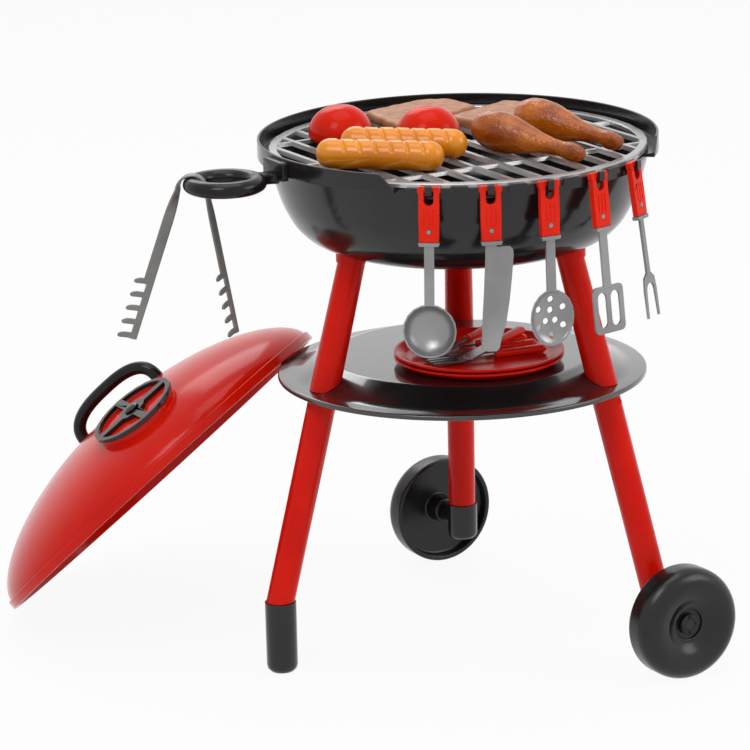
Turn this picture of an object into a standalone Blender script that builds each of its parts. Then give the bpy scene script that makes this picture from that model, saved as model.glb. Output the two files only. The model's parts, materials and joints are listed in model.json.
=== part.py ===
"""Toy kettle barbecue on three legs, with its grate, play food, hanging utensils, tongs, plates and lid.

Metres, +Z up. The pieces are modelled round the kettle's own axis, with the floor at zero. At the end the
parent of them all moves, so that the origin lies at the bottom centre of the whole object's box.
Seen from above, the side handle points to -X, the two wheels lie to +X and the utensils hang towards -Y.
"""
import math

import bmesh
import bpy
import numpy as np
from mathutils import Matrix, Vector

# Clearances and facet counts that all pieces share
GAP = 0.0003
OVERRUN = 0.004
MERGE_DISTANCE = 0.00001
BIG_ROUND_STEPS = 48
WHEEL_STEPS = 32
PLATE_STEPS = 30
ROUND_STEPS = 20
SMALL_STEPS = 12
FINE_STEPS = 8

# Kettle: a band above a ledge that carries the grate, and a bowl below it
RIM_RADIUS = 0.190
RIM_TOP = 0.498
BAND_WALL = 0.0025
LEDGE_DROP = 0.0150
LEDGE_THICKNESS = 0.0025
LEDGE_WIDTH = 0.009
BOWL_MOUTH_RADIUS = RIM_RADIUS - LEDGE_WIDTH
BOWL_WALL = 0.0025
BOWL_FLOOR = 0.004
BOWL_BOTTOM = 0.391
BOWL_OUTLINE_SHARES = (
    (1.0, 0.0), (0.964, 0.26), (0.928, 0.494), (0.867, 0.724), (0.79, 0.871), (0.674, 0.965), (0.58, 1.0))

# The band is cut away at the front, down to a low lip
FRONT_AZIMUTH = math.radians(-92)
FRONT_TOP_HALF_ANGLE = math.radians(51.4)
FRONT_LOW_HALF_ANGLE = math.radians(46.9)
FRONT_LIP = 0.0015

# Grate: a flat ring, bars and cross bars, on feet that stand on the ledge
GRATE_TOP = 0.4885
GRATE_INSET = 0.001
GRATE_RADIUS = BOWL_MOUTH_RADIUS - GRATE_INSET
GRATE_RING_WIDTH = 0.009
GRATE_RING_THICKNESS = 0.0045
GRATE_BAR_WIDTH = 0.0065
GRATE_BAR_THICKNESS = 0.0040
GRATE_CROSS_THICKNESS = 0.0034
GRATE_BAR_DROP = 0.0002
GRATE_BAR_PITCH = 0.0273
GRATE_CROSS_PITCH = 0.099
GRATE_FOOT_LENGTH = 0.010
GRATE_FOOT_WIDTH = 0.004
GRATE_FOOT_AZIMUTHS = tuple(math.radians(a) for a in (-148, -103, -85, -40, 10, 60, 110, 160))

# Hook rail: a curved strip on the front lip, with five J hooks and clip tabs between them
RAIL_HEIGHT = 0.0095
RAIL_THICKNESS = 0.0016
RAIL_HALF_ANGLE = math.radians(41.0)
RAIL_STEPS = 20
HOOK_COUNT = 5
HOOK_ROW_AZIMUTH = math.radians(-95.0)
HOOK_PITCH_ANGLE = math.radians(17.0)
HOOK_WIDTH = 0.0064
HOOK_NECK_THICKNESS = 0.0048
HOOK_NECK_LENGTH = 0.0066
HOOK_TIP_THICKNESS = 0.0026
HOOK_TIP_RISE = 0.0062
HOOK_SADDLE_TOP = 0.4830
HOOK_SADDLE_FALL = 0.0022
HOOK_BACK_THICKNESS = 0.0018
TAB_WIDTH = 0.020
TAB_RISE = 0.0018

# Utensils: a red grip with a hook hole under its top bar, and a silver tool with a collar and a rivet
GRIP_WIDTH = 0.0190
GRIP_LENGTH = 0.0466
GRIP_THICKNESS = 0.0055
GRIP_BAR_WIDTH = 0.0208
GRIP_BAR_HEIGHT = 0.0042
GRIP_HOLE_RADIUS = 0.0046
GRIP_HOLE_HEIGHT = 0.0130
GRIP_GROOVE_COUNT = 3
GRIP_GROOVE_WIDTH = 0.0015
GRIP_GROOVE_DEPTH = 0.0006
GRIP_GROOVE_LENGTH = 0.0170
GRIP_GROOVE_TOP = 0.0165
GRIP_GROOVE_PITCH = 0.0040
GRIP_BASE_SHARE = 0.94
RIVET_RADIUS = 0.0022
RIVET_PROUD = 0.0004
RIVET_RISE = 0.0095
TOOL_THICKNESS = 0.0025
TANG_WIDTH = 0.0080
TANG_LENGTH = 0.0160
COLLAR_WIDTH = 0.0200
COLLAR_HEIGHT = 0.0034
COLLAR_THICKNESS = 0.0070
SHANK_WIDTH = 0.0092
UTENSIL_LEANS = tuple(math.radians(a) for a in (6, 2, 2, 6, 8))

LADLE_RADIUS = 0.0250
LADLE_DEPTH = 0.0150
LADLE_WALL = 0.0016
LADLE_CENTRE_DROP = 0.0817
KNIFE_WIDTH = 0.0262
KNIFE_LENGTH = 0.0993
KNIFE_OUTLINE_SHARES = (
    (-0.22, 0.0), (-0.23, 0.13), (-0.30, 0.44), (-0.37, 0.68), (-0.43, 0.93), (-0.38, 0.98), (-0.20, 1.0),
    (0.10, 1.0), (0.21, 0.97), (0.26, 0.90), (0.46, 0.74), (0.60, 0.52), (0.70, 0.30), (0.77, 0.10),
    (0.75, 0.05), (0.64, 0.02), (0.24, 0.02))
SPOON_WIDTH = 0.0450
SPOON_HEIGHT = 0.0530
SPOON_DEPTH = 0.0060
SPOON_HOLE_RADIUS = 0.0031
SPOON_CENTRE_DROP = 0.0770
SPOON_OUTER_HOLES = 6
SPOON_OUTER_SHARE = 0.64
SPOON_INNER_HOLES = 3
SPOON_INNER_SHARE = 0.25
SPATULA_WIDTH = 0.0385
SPATULA_HEIGHT = 0.0441
SPATULA_CORNER = 0.0050
SPATULA_TOP_DROP = 0.0549
SPATULA_SLOT_WIDTH = 0.0110
SPATULA_SLOT_LENGTH = 0.0330
SPATULA_SLOT_PITCH = 0.0165
FORK_SHANK_WIDTH = 0.0062
FORK_WIDTH = 0.0230
FORK_TOP_DROP = 0.0547
FORK_LENGTH = 0.0420
FORK_PRONG_WIDTH = 0.0042
FORK_TIP_WIDTH = 0.0026
FORK_CROTCH_DROP = 0.0095

# Side handle: a round loop on a stem, with a foot plate screwed to the band
LOOP_AZIMUTH = math.radians(177.7)
LOOP_OFFSET = 0.0550
LOOP_CENTRE_REACH = RIM_RADIUS + LOOP_OFFSET
LOOP_RADIUS = 0.0305
LOOP_TUBE_WIDTH = 0.0170
LOOP_TUBE_HEIGHT = 0.0150
LOOP_DROP = 0.0190
LOOP_HEIGHT = RIM_TOP - LOOP_DROP
STEM_WIDTH = 0.0200
STEM_HEIGHT = 0.0125
HANDLE_PLATE_WIDTH = 0.0400
HANDLE_PLATE_HEIGHT = 0.0180
HANDLE_PLATE_THICKNESS = 0.0070
HANDLE_PLATE_RISE = 0.0165
HANDLE_PLATE_TOP = LOOP_HEIGHT + HANDLE_PLATE_RISE
HANDLE_SCREW_PITCH = 0.0270
HANDLE_SCREW_DROP = 0.0060

# Screws that hold the handles
SCREW_SHANK_RADIUS = 0.0015
SCREW_HEAD_RADIUS = 0.0032
SCREW_HEAD_HEIGHT = 0.0018
SCREW_BITE = 0.0050

# Legs: an upper and a lower tube in line, with the shelf clamped between them
LEG_AZIMUTHS = tuple(math.radians(a) for a in (180, 60, -60))
LEG_NAMES = ("handle_side", "rear", "front")
LEG_TOP_INSET = 0.0630
LEG_TOP_REACH = BOWL_MOUTH_RADIUS - LEG_TOP_INSET
LEG_FOOT_REACH = 0.2055
UPPER_LEG_TOP_RADIUS = 0.0130
UPPER_LEG_BASE_RADIUS = 0.0143
LOWER_LEG_TOP_RADIUS = 0.0137
LOWER_LEG_BASE_RADIUS = 0.0134
LEG_SPIGOT_RADIUS = 0.0098
LEG_SPIGOT_LENGTH = 0.0260
LEG_BUTTON_RADIUS = 0.0045
LEG_BUTTON_PROUD = 0.0016
LEG_BUTTON_DROP = 0.0240
LEG_STUD_RADIUS = 0.0050
LEG_STUD_ROOT = 0.0100
LEG_PAD_RADIUS = 0.0145
LEG_PAD_HEIGHT = 0.0122
LEG_PAD_PROUD = 0.0008
LEG_NUT_RADIUS = 0.0138
LEG_NUT_HEIGHT = 0.0140
LEG_NUT_ROUND = 0.0030
LEG_NUT_TOP_WALL = 0.0030

# Leg caps: a plain foot, and two that carry a wheel
CAP_TOP = 0.0700
CAP_TOP_RADIUS = 0.0151
CAP_BASE_RADIUS = 0.0149
CAP_SPIGOT_RADIUS = 0.0100
CAP_SPIGOT_LENGTH = 0.0250
FOOT_ROUND = 0.0080
AXLE_CAP_BOTTOM = 0.0340
AXLE_CAP_ROUND = 0.0060
AXLE_BOSS_RADIUS = 0.0085
AXLE_PIN_RADIUS = 0.0050

# Wheels
WHEEL_RADIUS = 0.0540
WHEEL_WIDTH = 0.0300
WHEEL_OFFSET = 0.0500
WHEEL_INNER_ROUND = 0.0030
WHEEL_OUTER_ROUND = 0.0150
WHEEL_RIM_WALL = 0.0050
WHEEL_CAVITY_DEPTH = 0.0150
WHEEL_HUB_RADIUS = 0.0130
WHEEL_HUB_PROUD = 0.0040
WHEEL_DISH_RADIUS = 0.0260
WHEEL_DISH_DEPTH = 0.0020
WHEEL_MOUTH_RADIUS = 0.0200
WHEEL_RECESS_RADIUS = 0.0145
WHEEL_RECESS_DEPTH = 0.0110
RETAINER_RADIUS = 0.0100
RETAINER_THICKNESS = 0.0040
RETAINER_TOOTH_COUNT = 4
RETAINER_TOOTH_WIDTH = 0.0012
RETAINER_TOOTH_RISE = 0.0016

# Shelf: a raised plateau with a sloping skirt and a turned-down lip
SHELF_MARGIN = 0.0290
SHELF_LIP_TOP = 0.2688
SHELF_LIP_ROUND = 0.0036
SHELF_LIP_HEIGHT = 0.0045
SHELF_PLATEAU_INSET = 0.0230
SHELF_PLATEAU_TOP = 0.2835
SHELF_FLANGE_MARGIN = 0.0110
SHELF_FLANGE_RISE = 0.0008
LEG_SHELF_DROP = 0.002559
SHELF_WALL = 0.0026

# Lid: a dome with a flange, leaning on the shelf's lip with its lowest edge on the floor
LID_OVERHANG = 0.0095
LID_FLANGE_WIDTH = 0.0030
LID_RADIUS = RIM_RADIUS + LID_OVERHANG
LID_DOME_RADIUS = LID_RADIUS - LID_FLANGE_WIDTH
LID_HEIGHT = 0.0800
LID_FLANGE_HEIGHT = 0.0090
LID_WALL = 0.0022
LID_DOME_POWER = 1.25
LID_DOME_STEPS = 9
LID_OVER_LIP = 0.0052
LID_LEAN_AZIMUTH = math.radians(133.5)
LID_PLACE_AZIMUTH = math.radians(130.0)
LID_SEAT_SAMPLES = 720
LID_SEAT_HALVINGS = 40

# Lid handle: an arched tube, screwed on from inside
LID_HANDLE_SPAN = 0.1180
LID_HANDLE_UP_SLOPE = 0.0130
LID_HANDLE_TUBE_RADIUS = 0.0064
LID_HANDLE_RISE = 0.0280
LID_HANDLE_POINTS = 17
LID_HANDLE_FULLNESS_SHARE = 0.62

# Vent: a disc that turns on a pin, on a raised plinth beside the handle
VENT_RADIUS = 0.0450
VENT_THICKNESS = 0.0040
VENT_INSET = 0.0675
VENT_REACH = LID_RADIUS - VENT_INSET
VENT_SIDE_ANGLE = math.radians(-56.5)
VENT_PLINTH_RADIUS = 0.0430
VENT_PLINTH_HEIGHT = 0.0030
VENT_PLINTH_DEPTH = 0.0060
VENT_RIM_WIDTH = 0.0050
VENT_HUB_RADIUS = 0.0110
VENT_SPOKE_WIDTH = 0.0090
VENT_PETAL_COUNT = 4
VENT_PIN_RADIUS = 0.0030
VENT_PIN_HEAD_RADIUS = 0.0080
VENT_PIN_HEAD_HEIGHT = 0.0030
VENT_PIN_TAIL = 0.0030
LID_SCREW_SLACK = 0.0012

# Play food
TOMATO_RADIUS = 0.0310
TOMATO_HEIGHT = 0.0340
TOMATO_BASE_SHARE = 0.94
TOMATO_PLACE_SHARES = ((-0.465, 0.426), (-0.104, 0.123))
SAUSAGE_LENGTH = 0.1210
SAUSAGE_RADIUS = 0.0140
SAUSAGE_SLASHES = 6
SAUSAGE_SLASH_DEPTH = 0.0030
SAUSAGE_SLASH_WIDTH = 0.0030
SAUSAGE_SLASH_BASE_SHARE = 0.4
SAUSAGE_SLASH_PITCH = 0.0150
SAUSAGE_SLASH_TURN = math.radians(28)
SAUSAGE_PLACE_SHARES = ((-0.665, -0.338), (-0.417, -0.155))
SAUSAGE_TURNS = tuple(math.radians(a) for a in (-43, -43))
STEAK_THICKNESS = 0.0095
STEAK_CORNER = 0.0060
STEAK_CORNER_SHARES = (
    ((-0.106, 0.792), (0.310, 0.892), (0.444, 0.809), (0.460, 0.559), (-0.145, 0.303)),
    ((0.199, 0.415), (0.677, 0.603), (0.799, 0.303), (0.255, 0.115)))
DRUMSTICK_LENGTH = 0.1260
DRUMSTICK_RADIUS = 0.0200
DRUMSTICK_OUTLINE_SHARES = (
    (0.0, 0.0), (0.012, 0.36), (0.05, 0.68), (0.13, 0.93), (0.23, 1.0), (0.34, 0.93), (0.47, 0.72),
    (0.60, 0.50), (0.72, 0.38), (0.80, 0.37), (0.86, 0.44), (0.92, 0.45), (0.97, 0.34), (1.0, 0.0))
DRUMSTICK_BULB_SHARE = 0.23
DRUMSTICK_KNUCKLE_SHARE = 0.90
DRUMSTICK_PLACE_SHARES = ((-0.023, -0.206), (0.332, -0.063))
DRUMSTICK_TURNS = tuple(math.radians(a) for a in (-66, -70))

# Tongs: one strip bent over the side handle's loop, both arms ending in a comb
TONGS_WIDTH = 0.0110
TONGS_COMB_WIDTH = 0.0070
TONGS_THICKNESS = 0.0024
TONGS_BEND_SLACK = 0.0032
TONGS_OUTER_ARM = 0.1490
TONGS_INNER_ARM = 0.1400
TONGS_OUTER_LEAN = math.radians(19)
TONGS_INNER_LEAN = math.radians(9.5)
TONGS_PLANE_AZIMUTH = math.radians(150.5)
TONGS_OUTER_TWIST = math.radians(66)
TONGS_INNER_TWIST = math.radians(27)
TONGS_TWIST_RUN = 0.0520
TONGS_BEND_STEPS = 12
TONGS_ARM_STEPS = 8
TONGS_TOOTH_COUNT = 5
TONGS_TOOTH_LENGTH = 0.0130
TONGS_TOOTH_HEIGHT = 0.0052
TONGS_TOOTH_PITCH = 0.0135

# Plates on the shelf
PLATE_RADIUS = 0.0810
PLATE_HEIGHT = 0.0080
PLATE_FLAT_RADIUS = 0.0680
PLATE_WALL = 0.0022
PLATE_FOOT_SHARE = 0.80
LOWER_PLATE_PLACE_SHARES = (-0.038, -0.318)
UPPER_PLATE_SHIFT = (0.0006, 0.0004)
UPPER_PLATE_RISE = 0.0044

# Cutlery on the upper plate: three pieces lie on it, and two lie across them
CUTLERY_GRIP_LENGTH = 0.0540
CUTLERY_GRIP_WIDTH = 0.0115
CUTLERY_GRIP_HEIGHT = 0.0075
CUTLERY_HEAD_THICKNESS = 0.0018
CUTLERY_TANG_LENGTH = 0.0140
CUTLERY_TANG_WIDTH = 0.0060
CUTLERY_HEAD_LENGTH = 0.0660
CUTLERY_NECK_WIDTH = 0.0050
CUTLERY_SPOON_WIDTH = 0.0230
CUTLERY_KNIFE_WIDTH = 0.0140
CUTLERY_FORK_WIDTH = 0.0190
CUTLERY_FORK_GAP = 0.0030
CUTLERY_FORK_PRONGS = 3
CUTLERY_BOWL_SHARE = 0.46
CUTLERY_LAYER_TURNS = tuple(math.radians(a) for a in (-7, 32))
CUTLERY_ROW_PITCH = 0.0215
CUTLERY_TOP_PITCH = 0.0320

# Colours as linear red, green, blue
RED = (0.578, 0.007, 0.002)
BLACK = (0.012, 0.011, 0.011)
SILVER = (0.30, 0.30, 0.31)
TONGS_GREY = (0.17, 0.165, 0.155)
STEEL = (0.55, 0.55, 0.56)
TOMATO_RED = (0.62, 0.010, 0.003)
SAUSAGE_BROWN = (0.62, 0.17, 0.012)
DRUMSTICK_BROWN = (0.45, 0.11, 0.010)
STEAK_BROWN = (0.55, 0.26, 0.17)
CUTLERY_GREY = (0.10, 0.095, 0.095)

# Heights and slopes that follow from the sizes above
LEDGE_TOP = RIM_TOP - LEDGE_DROP
LEDGE_UNDER = LEDGE_TOP - LEDGE_THICKNESS
LEG_SLOPE = (LEG_FOOT_REACH - LEG_TOP_REACH) / (BOWL_BOTTOM - CAP_TOP)
LEG_TILT = math.atan(LEG_SLOPE)
LEG_SHELF_REACH = LEG_FOOT_REACH - (SHELF_PLATEAU_TOP - LEG_SHELF_DROP - CAP_TOP) * LEG_SLOPE
SHELF_RADIUS = LEG_SHELF_REACH + SHELF_MARGIN
SHELF_PLATEAU_RADIUS = LEG_SHELF_REACH - SHELF_PLATEAU_INSET
SHELF_FLANGE_RADIUS = LEG_SHELF_REACH + SHELF_FLANGE_MARGIN
FLANGE_TOP = SHELF_LIP_TOP + SHELF_FLANGE_RISE
SKIRT_SLOPE = (SHELF_PLATEAU_TOP - FLANGE_TOP) / (SHELF_FLANGE_RADIUS - SHELF_PLATEAU_RADIUS)
HOOK_HINGE_REACH = BOWL_MOUTH_RADIUS + GAP + RAIL_THICKNESS + HOOK_BACK_THICKNESS + GAP + GRIP_THICKNESS / 2


def set_up_scene():
    """Clears the scene and makes the two collections, one for the pieces and one for the cutters."""
    for leftover in list(bpy.data.objects):
        bpy.data.objects.remove(leftover)
    for name in ("toy_barbecue", "cutters"):
        bpy.context.scene.collection.children.link(bpy.data.collections.new(name))


def material(name, colour, roughness, metallic=0.0):
    """A Principled material of one colour."""
    made = bpy.data.materials.new(name)
    made.use_nodes = True
    shader = made.node_tree.nodes["Principled BSDF"]
    shader.inputs["Base Color"].default_value = (*colour, 1.0)
    shader.inputs["Roughness"].default_value = roughness
    shader.inputs["Metallic"].default_value = metallic
    return made


def link(name, mesh):
    """A new object with this mesh, in the collection of the pieces."""
    made = bpy.data.objects.new(name, mesh)
    bpy.data.collections["toy_barbecue"].objects.link(made)
    return made


def finish(piece, finish_material, parent):
    """Gives a piece its material and smooth rounds, and hangs it on its parent where it is."""
    piece.data.materials.clear()
    piece.data.materials.append(finish_material)
    if piece.data.polygons:
        piece.data.shade_smooth()
        piece.data.set_sharp_from_angle(angle=math.radians(35))
    hang(piece, parent)
    return piece


def hang(child, parent):
    """Parents an object without moving it, as long as its parents still stand where they were made."""
    child.parent = parent
    child.matrix_parent_inverse = parent.matrix_basis.inverted()


def empty(name, place, parent=None):
    """An empty that stands on a joint's axis, for the pieces that move with it."""
    made = bpy.data.objects.new(name, None)
    bpy.data.collections["toy_barbecue"].objects.link(made)
    made.matrix_basis = place
    if parent:
        hang(made, parent)
    return made


def combine(piece, other, operation):
    """Cuts another solid out of a piece, or joins it on, and puts the other among the cutters."""
    change = piece.modifiers.new(operation.title(), "BOOLEAN")
    change.operation = operation
    change.object = other
    bpy.data.collections["toy_barbecue"].objects.unlink(other)
    bpy.data.collections["cutters"].objects.link(other)
    other.hide_render = True
    other.display_type = "WIRE"
    hang(other, piece)


def cut(piece, *others):
    for other in others:
        combine(piece, other, "DIFFERENCE")


def join(piece, *others):
    for other in others:
        combine(piece, other, "UNION")


def turn(angle, axis="Z"):
    return Matrix.Rotation(angle, 4, axis)


def shift(x=0.0, y=0.0, z=0.0):
    return Matrix.Translation((x, y, z))


def radial_frame(azimuth, reach=0.0, height=0.0):
    """A frame whose -Y points outward at this azimuth, as the front of the kettle faces -Y."""
    outward = Vector((math.cos(azimuth), math.sin(azimuth), 0))
    return Matrix.Translation(outward * reach + Vector((0, 0, height))) @ turn(azimuth + math.pi / 2)


def clockwise(outline):
    """The outline, turned round where it runs counter-clockwise."""
    points = np.array(outline)
    following = np.roll(points, -1, axis=0)
    area = np.sum(points[:, 0] * following[:, 1] - following[:, 0] * points[:, 1])
    return list(outline) if area < 0 else list(reversed(outline))


def turned(name, outline, steps, ring=False, place=None):
    """Turns an outline of (radius, height) points round Z. A ring's outline closes on itself."""
    points = clockwise(outline)
    edges = [(i, i + 1) for i in range(len(points) - 1)]
    if ring:
        edges.append((len(points) - 1, 0))
    mesh = bpy.data.meshes.new(name)
    mesh.from_pydata([(radius, 0, height) for radius, height in points], edges, [])
    made = link(name, mesh)
    screw = made.modifiers.new("Turn", "SCREW")
    screw.steps = steps
    screw.render_steps = steps
    screw.use_merge_vertices = True
    screw.merge_threshold = MERGE_DISTANCE
    made.matrix_basis = place or Matrix()
    return made


def primitive(name, fill, place=None):
    """An object whose mesh comes from one of the primitives of bmesh."""
    shape = bmesh.new()
    fill(shape)
    mesh = bpy.data.meshes.new(name)
    shape.to_mesh(mesh)
    shape.free()
    made = link(name, mesh)
    made.matrix_basis = place or Matrix()
    return made


def box(name, width, depth, height, place=None, top_share=1.0):
    """A box that stands on its base centre. Its top may be narrower or wider in X than its base."""
    def fill(shape):
        bmesh.ops.create_cube(shape, size=1.0, matrix=Matrix.Diagonal((width, depth, height, 1)))
        for corner in shape.verts:
            if corner.co.z > 0:
                corner.co.x *= top_share
            corner.co.z += height / 2
    return primitive(name, fill, place)


def rod(name, base_radius, length, place=None, top_radius=None, steps=SMALL_STEPS):
    """A cylinder or cone frustum along Z that stands on its base centre."""
    top = base_radius if top_radius is None else top_radius

    def fill(shape):
        bmesh.ops.create_cone(
            shape, cap_ends=True, segments=steps, radius1=base_radius, radius2=top, depth=length,
            matrix=shift(z=length / 2))
    return primitive(name, fill, place)


def ball(name, radius, place=None, flatness=1.0):
    def fill(shape):
        bmesh.ops.create_uvsphere(
            shape, u_segments=SMALL_STEPS, v_segments=FINE_STEPS, radius=radius,
            matrix=Matrix.Diagonal((1, 1, flatness, 1)))
    return primitive(name, fill, place)


def meshed(curve_object):
    """The curve object as a mesh object with its caps welded, in the curve's place."""
    bpy.context.view_layer.update()
    view = bpy.context.evaluated_depsgraph_get()
    mesh = bpy.data.meshes.new_from_object(curve_object.evaluated_get(view))
    shape = bmesh.new()
    shape.from_mesh(mesh)
    bmesh.ops.remove_doubles(shape, verts=shape.verts, dist=MERGE_DISTANCE)
    bmesh.ops.recalc_face_normals(shape, faces=shape.faces)
    shape.to_mesh(mesh)
    shape.free()
    name = curve_object.name
    place = curve_object.matrix_basis.copy()
    bpy.data.objects.remove(curve_object)
    mesh.name = name
    made = link(name, mesh)
    made.matrix_basis = place
    return made


def plate_of(name, outlines, thickness, place=None):
    """A flat plate in the XZ plane, its outlines filled, with each inner outline a hole."""
    curve = bpy.data.curves.new(name, "CURVE")
    curve.dimensions = "2D"
    curve.fill_mode = "BOTH"
    curve.extrude = thickness / 2
    for outline in outlines:
        spline = curve.splines.new("POLY")
        spline.points.add(len(outline) - 1)
        for point, (x, z) in zip(spline.points, outline):
            point.co = (x, z, 0, 1)
        spline.use_cyclic_u = True
    made = link(name, curve)
    made.matrix_basis = (place or Matrix()) @ turn(math.pi / 2, "X")
    return meshed(made)


def arc(centre_x, centre_z, radius, start, end, steps):
    """Points along an arc, both ends included."""
    angles = np.linspace(start, end, steps + 1)
    return [(centre_x + radius * math.cos(a), centre_z + radius * math.sin(a)) for a in angles]


def ellipse(centre_x, centre_z, half_width, half_height, steps):
    angles = np.arange(steps) * 2 * math.pi / steps
    return [(centre_x + half_width * math.cos(a), centre_z + half_height * math.sin(a)) for a in angles]


def rounded(corners, radius, steps=3):
    """A polygon with each corner rounded by an arc."""
    points = []
    count = len(corners)
    for i, corner in enumerate(corners):
        here = Vector(corner)
        before = (Vector(corners[i - 1]) - here).normalized()
        after = (Vector(corners[(i + 1) % count]) - here).normalized()
        half = before.angle(after) / 2
        middle = here + (before + after).normalized() * radius / math.sin(half)
        start = here + before * radius / math.tan(half) - middle
        end = here + after * radius / math.tan(half) - middle
        sweep = start.angle_signed(end)
        for step in range(steps + 1):
            spoke = Matrix.Rotation(-sweep * step / steps, 2) @ start
            points.append(tuple(middle + spoke))
    return points


def bowl_outline(mouth_radius, top, bottom):
    """The bowl's outline from its mouth down to its flat bottom."""
    return [(r * mouth_radius, top - z * (top - bottom)) for r, z in BOWL_OUTLINE_SHARES]


def leg_reach(height):
    """How far the leg's axis lies from the kettle's axis at this height."""
    return LEG_FOOT_REACH - (height - CAP_TOP) * LEG_SLOPE


def leg_frame(azimuth, height):
    """A frame on the leg's axis at this height, with Z up along the leg and -Y outward."""
    return radial_frame(azimuth, leg_reach(height), height) @ turn(-LEG_TILT, "X")


def skirt_height(radius):
    """The height of the shelf's skirt, carried on inwards and outwards as a cone."""
    return SHELF_PLATEAU_TOP - (radius - SHELF_PLATEAU_RADIUS) * SKIRT_SLOPE


def screw_piece(name, grip_length, place, parent, steel):
    """A screw that points along -Z from under its head, which lies above the place given."""
    head_top = SCREW_HEAD_HEIGHT
    outline = [
        (0, head_top), (SCREW_HEAD_RADIUS * 0.6, head_top), (SCREW_HEAD_RADIUS, head_top / 2),
        (SCREW_HEAD_RADIUS, 0), (SCREW_SHANK_RADIUS, 0), (SCREW_SHANK_RADIUS, -grip_length),
        (0, -grip_length)]
    made = turned(name, outline, FINE_STEPS, place=place)
    return finish(made, steel, parent)


def kettle_bowl(black, parent):
    outer = bowl_outline(BOWL_MOUTH_RADIUS, LEDGE_UNDER, BOWL_BOTTOM)
    inner = bowl_outline(BOWL_MOUTH_RADIUS - BOWL_WALL, LEDGE_TOP, BOWL_BOTTOM + BOWL_FLOOR)
    outline = [(0, BOWL_BOTTOM)] + outer[::-1]
    outline += [(RIM_RADIUS, LEDGE_UNDER), (RIM_RADIUS, RIM_TOP), (RIM_RADIUS - BAND_WALL, RIM_TOP)]
    outline += [(RIM_RADIUS - BAND_WALL, LEDGE_TOP)] + inner + [(0, BOWL_BOTTOM + BOWL_FLOOR)]
    bowl = turned("kettle_bowl", outline, BIG_ROUND_STEPS)

    low = LEDGE_TOP + FRONT_LIP
    half_low = RIM_RADIUS * math.sin(FRONT_LOW_HALF_ANGLE)
    half_top = RIM_RADIUS * math.sin(FRONT_TOP_HALF_ANGLE)
    slope = (half_top - half_low) / (RIM_TOP - low)
    height = RIM_TOP - low + OVERRUN
    near = (RIM_RADIUS - BAND_WALL) * math.cos(FRONT_TOP_HALF_ANGLE) - OVERRUN
    depth = RIM_RADIUS + OVERRUN - near
    cut(bowl, box(
        "front_cut", 2 * half_low, depth, height, radial_frame(FRONT_AZIMUTH, near + depth / 2, low),
        top_share=(half_low + slope * height) / half_low))

    for azimuth, side in zip(LEG_AZIMUTHS, LEG_NAMES):
        at_pad = radial_frame(azimuth, LEG_TOP_REACH, BOWL_BOTTOM - LEG_PAD_PROUD)
        pad_height = LEG_PAD_HEIGHT + LEG_PAD_PROUD
        join(bowl, rod(f"pad_{side}", LEG_PAD_RADIUS, pad_height, at_pad, steps=ROUND_STEPS))
        cut(bowl, rod(
            f"stud_hole_{side}", LEG_STUD_RADIUS + GAP, pad_height + 2 * OVERRUN,
            at_pad @ shift(z=-OVERRUN)))
    for number, place in enumerate(handle_screw_places(), start=1):
        reach = BAND_WALL + 2 * OVERRUN
        cut(bowl, rod(
            f"band_hole_{number}", SCREW_SHANK_RADIUS + GAP, reach, place @ shift(z=OVERRUN - reach),
            steps=FINE_STEPS))
    cut(bowl, ring_part(
        "front_ledge_cut", LEDGE_UNDER - OVERRUN, low + GAP, BOWL_MOUTH_RADIUS, RIM_RADIUS + OVERRUN,
        FRONT_AZIMUTH, FRONT_LOW_HALF_ANGLE))
    return finish(bowl, black, parent)


def ring_part(name, low, high, inner, outer, middle, half_angle):
    """A turned ring, cut down to the stretch within an angle of its middle azimuth."""
    section = [(inner, high), (outer, high), (outer, low), (inner, low)]
    made = turned(name, section, BIG_ROUND_STEPS, ring=True)
    wedge = [(0, 0)] + arc(0, 0, 2 * outer, half_angle, 2 * math.pi - half_angle, RAIL_STEPS)
    keep_out = plate_of(f"{name}_ends", [wedge], high - low + 4 * OVERRUN)
    keep_out.matrix_basis = turn(middle) @ shift(z=(low + high) / 2)
    cut(made, keep_out)
    return made


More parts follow.
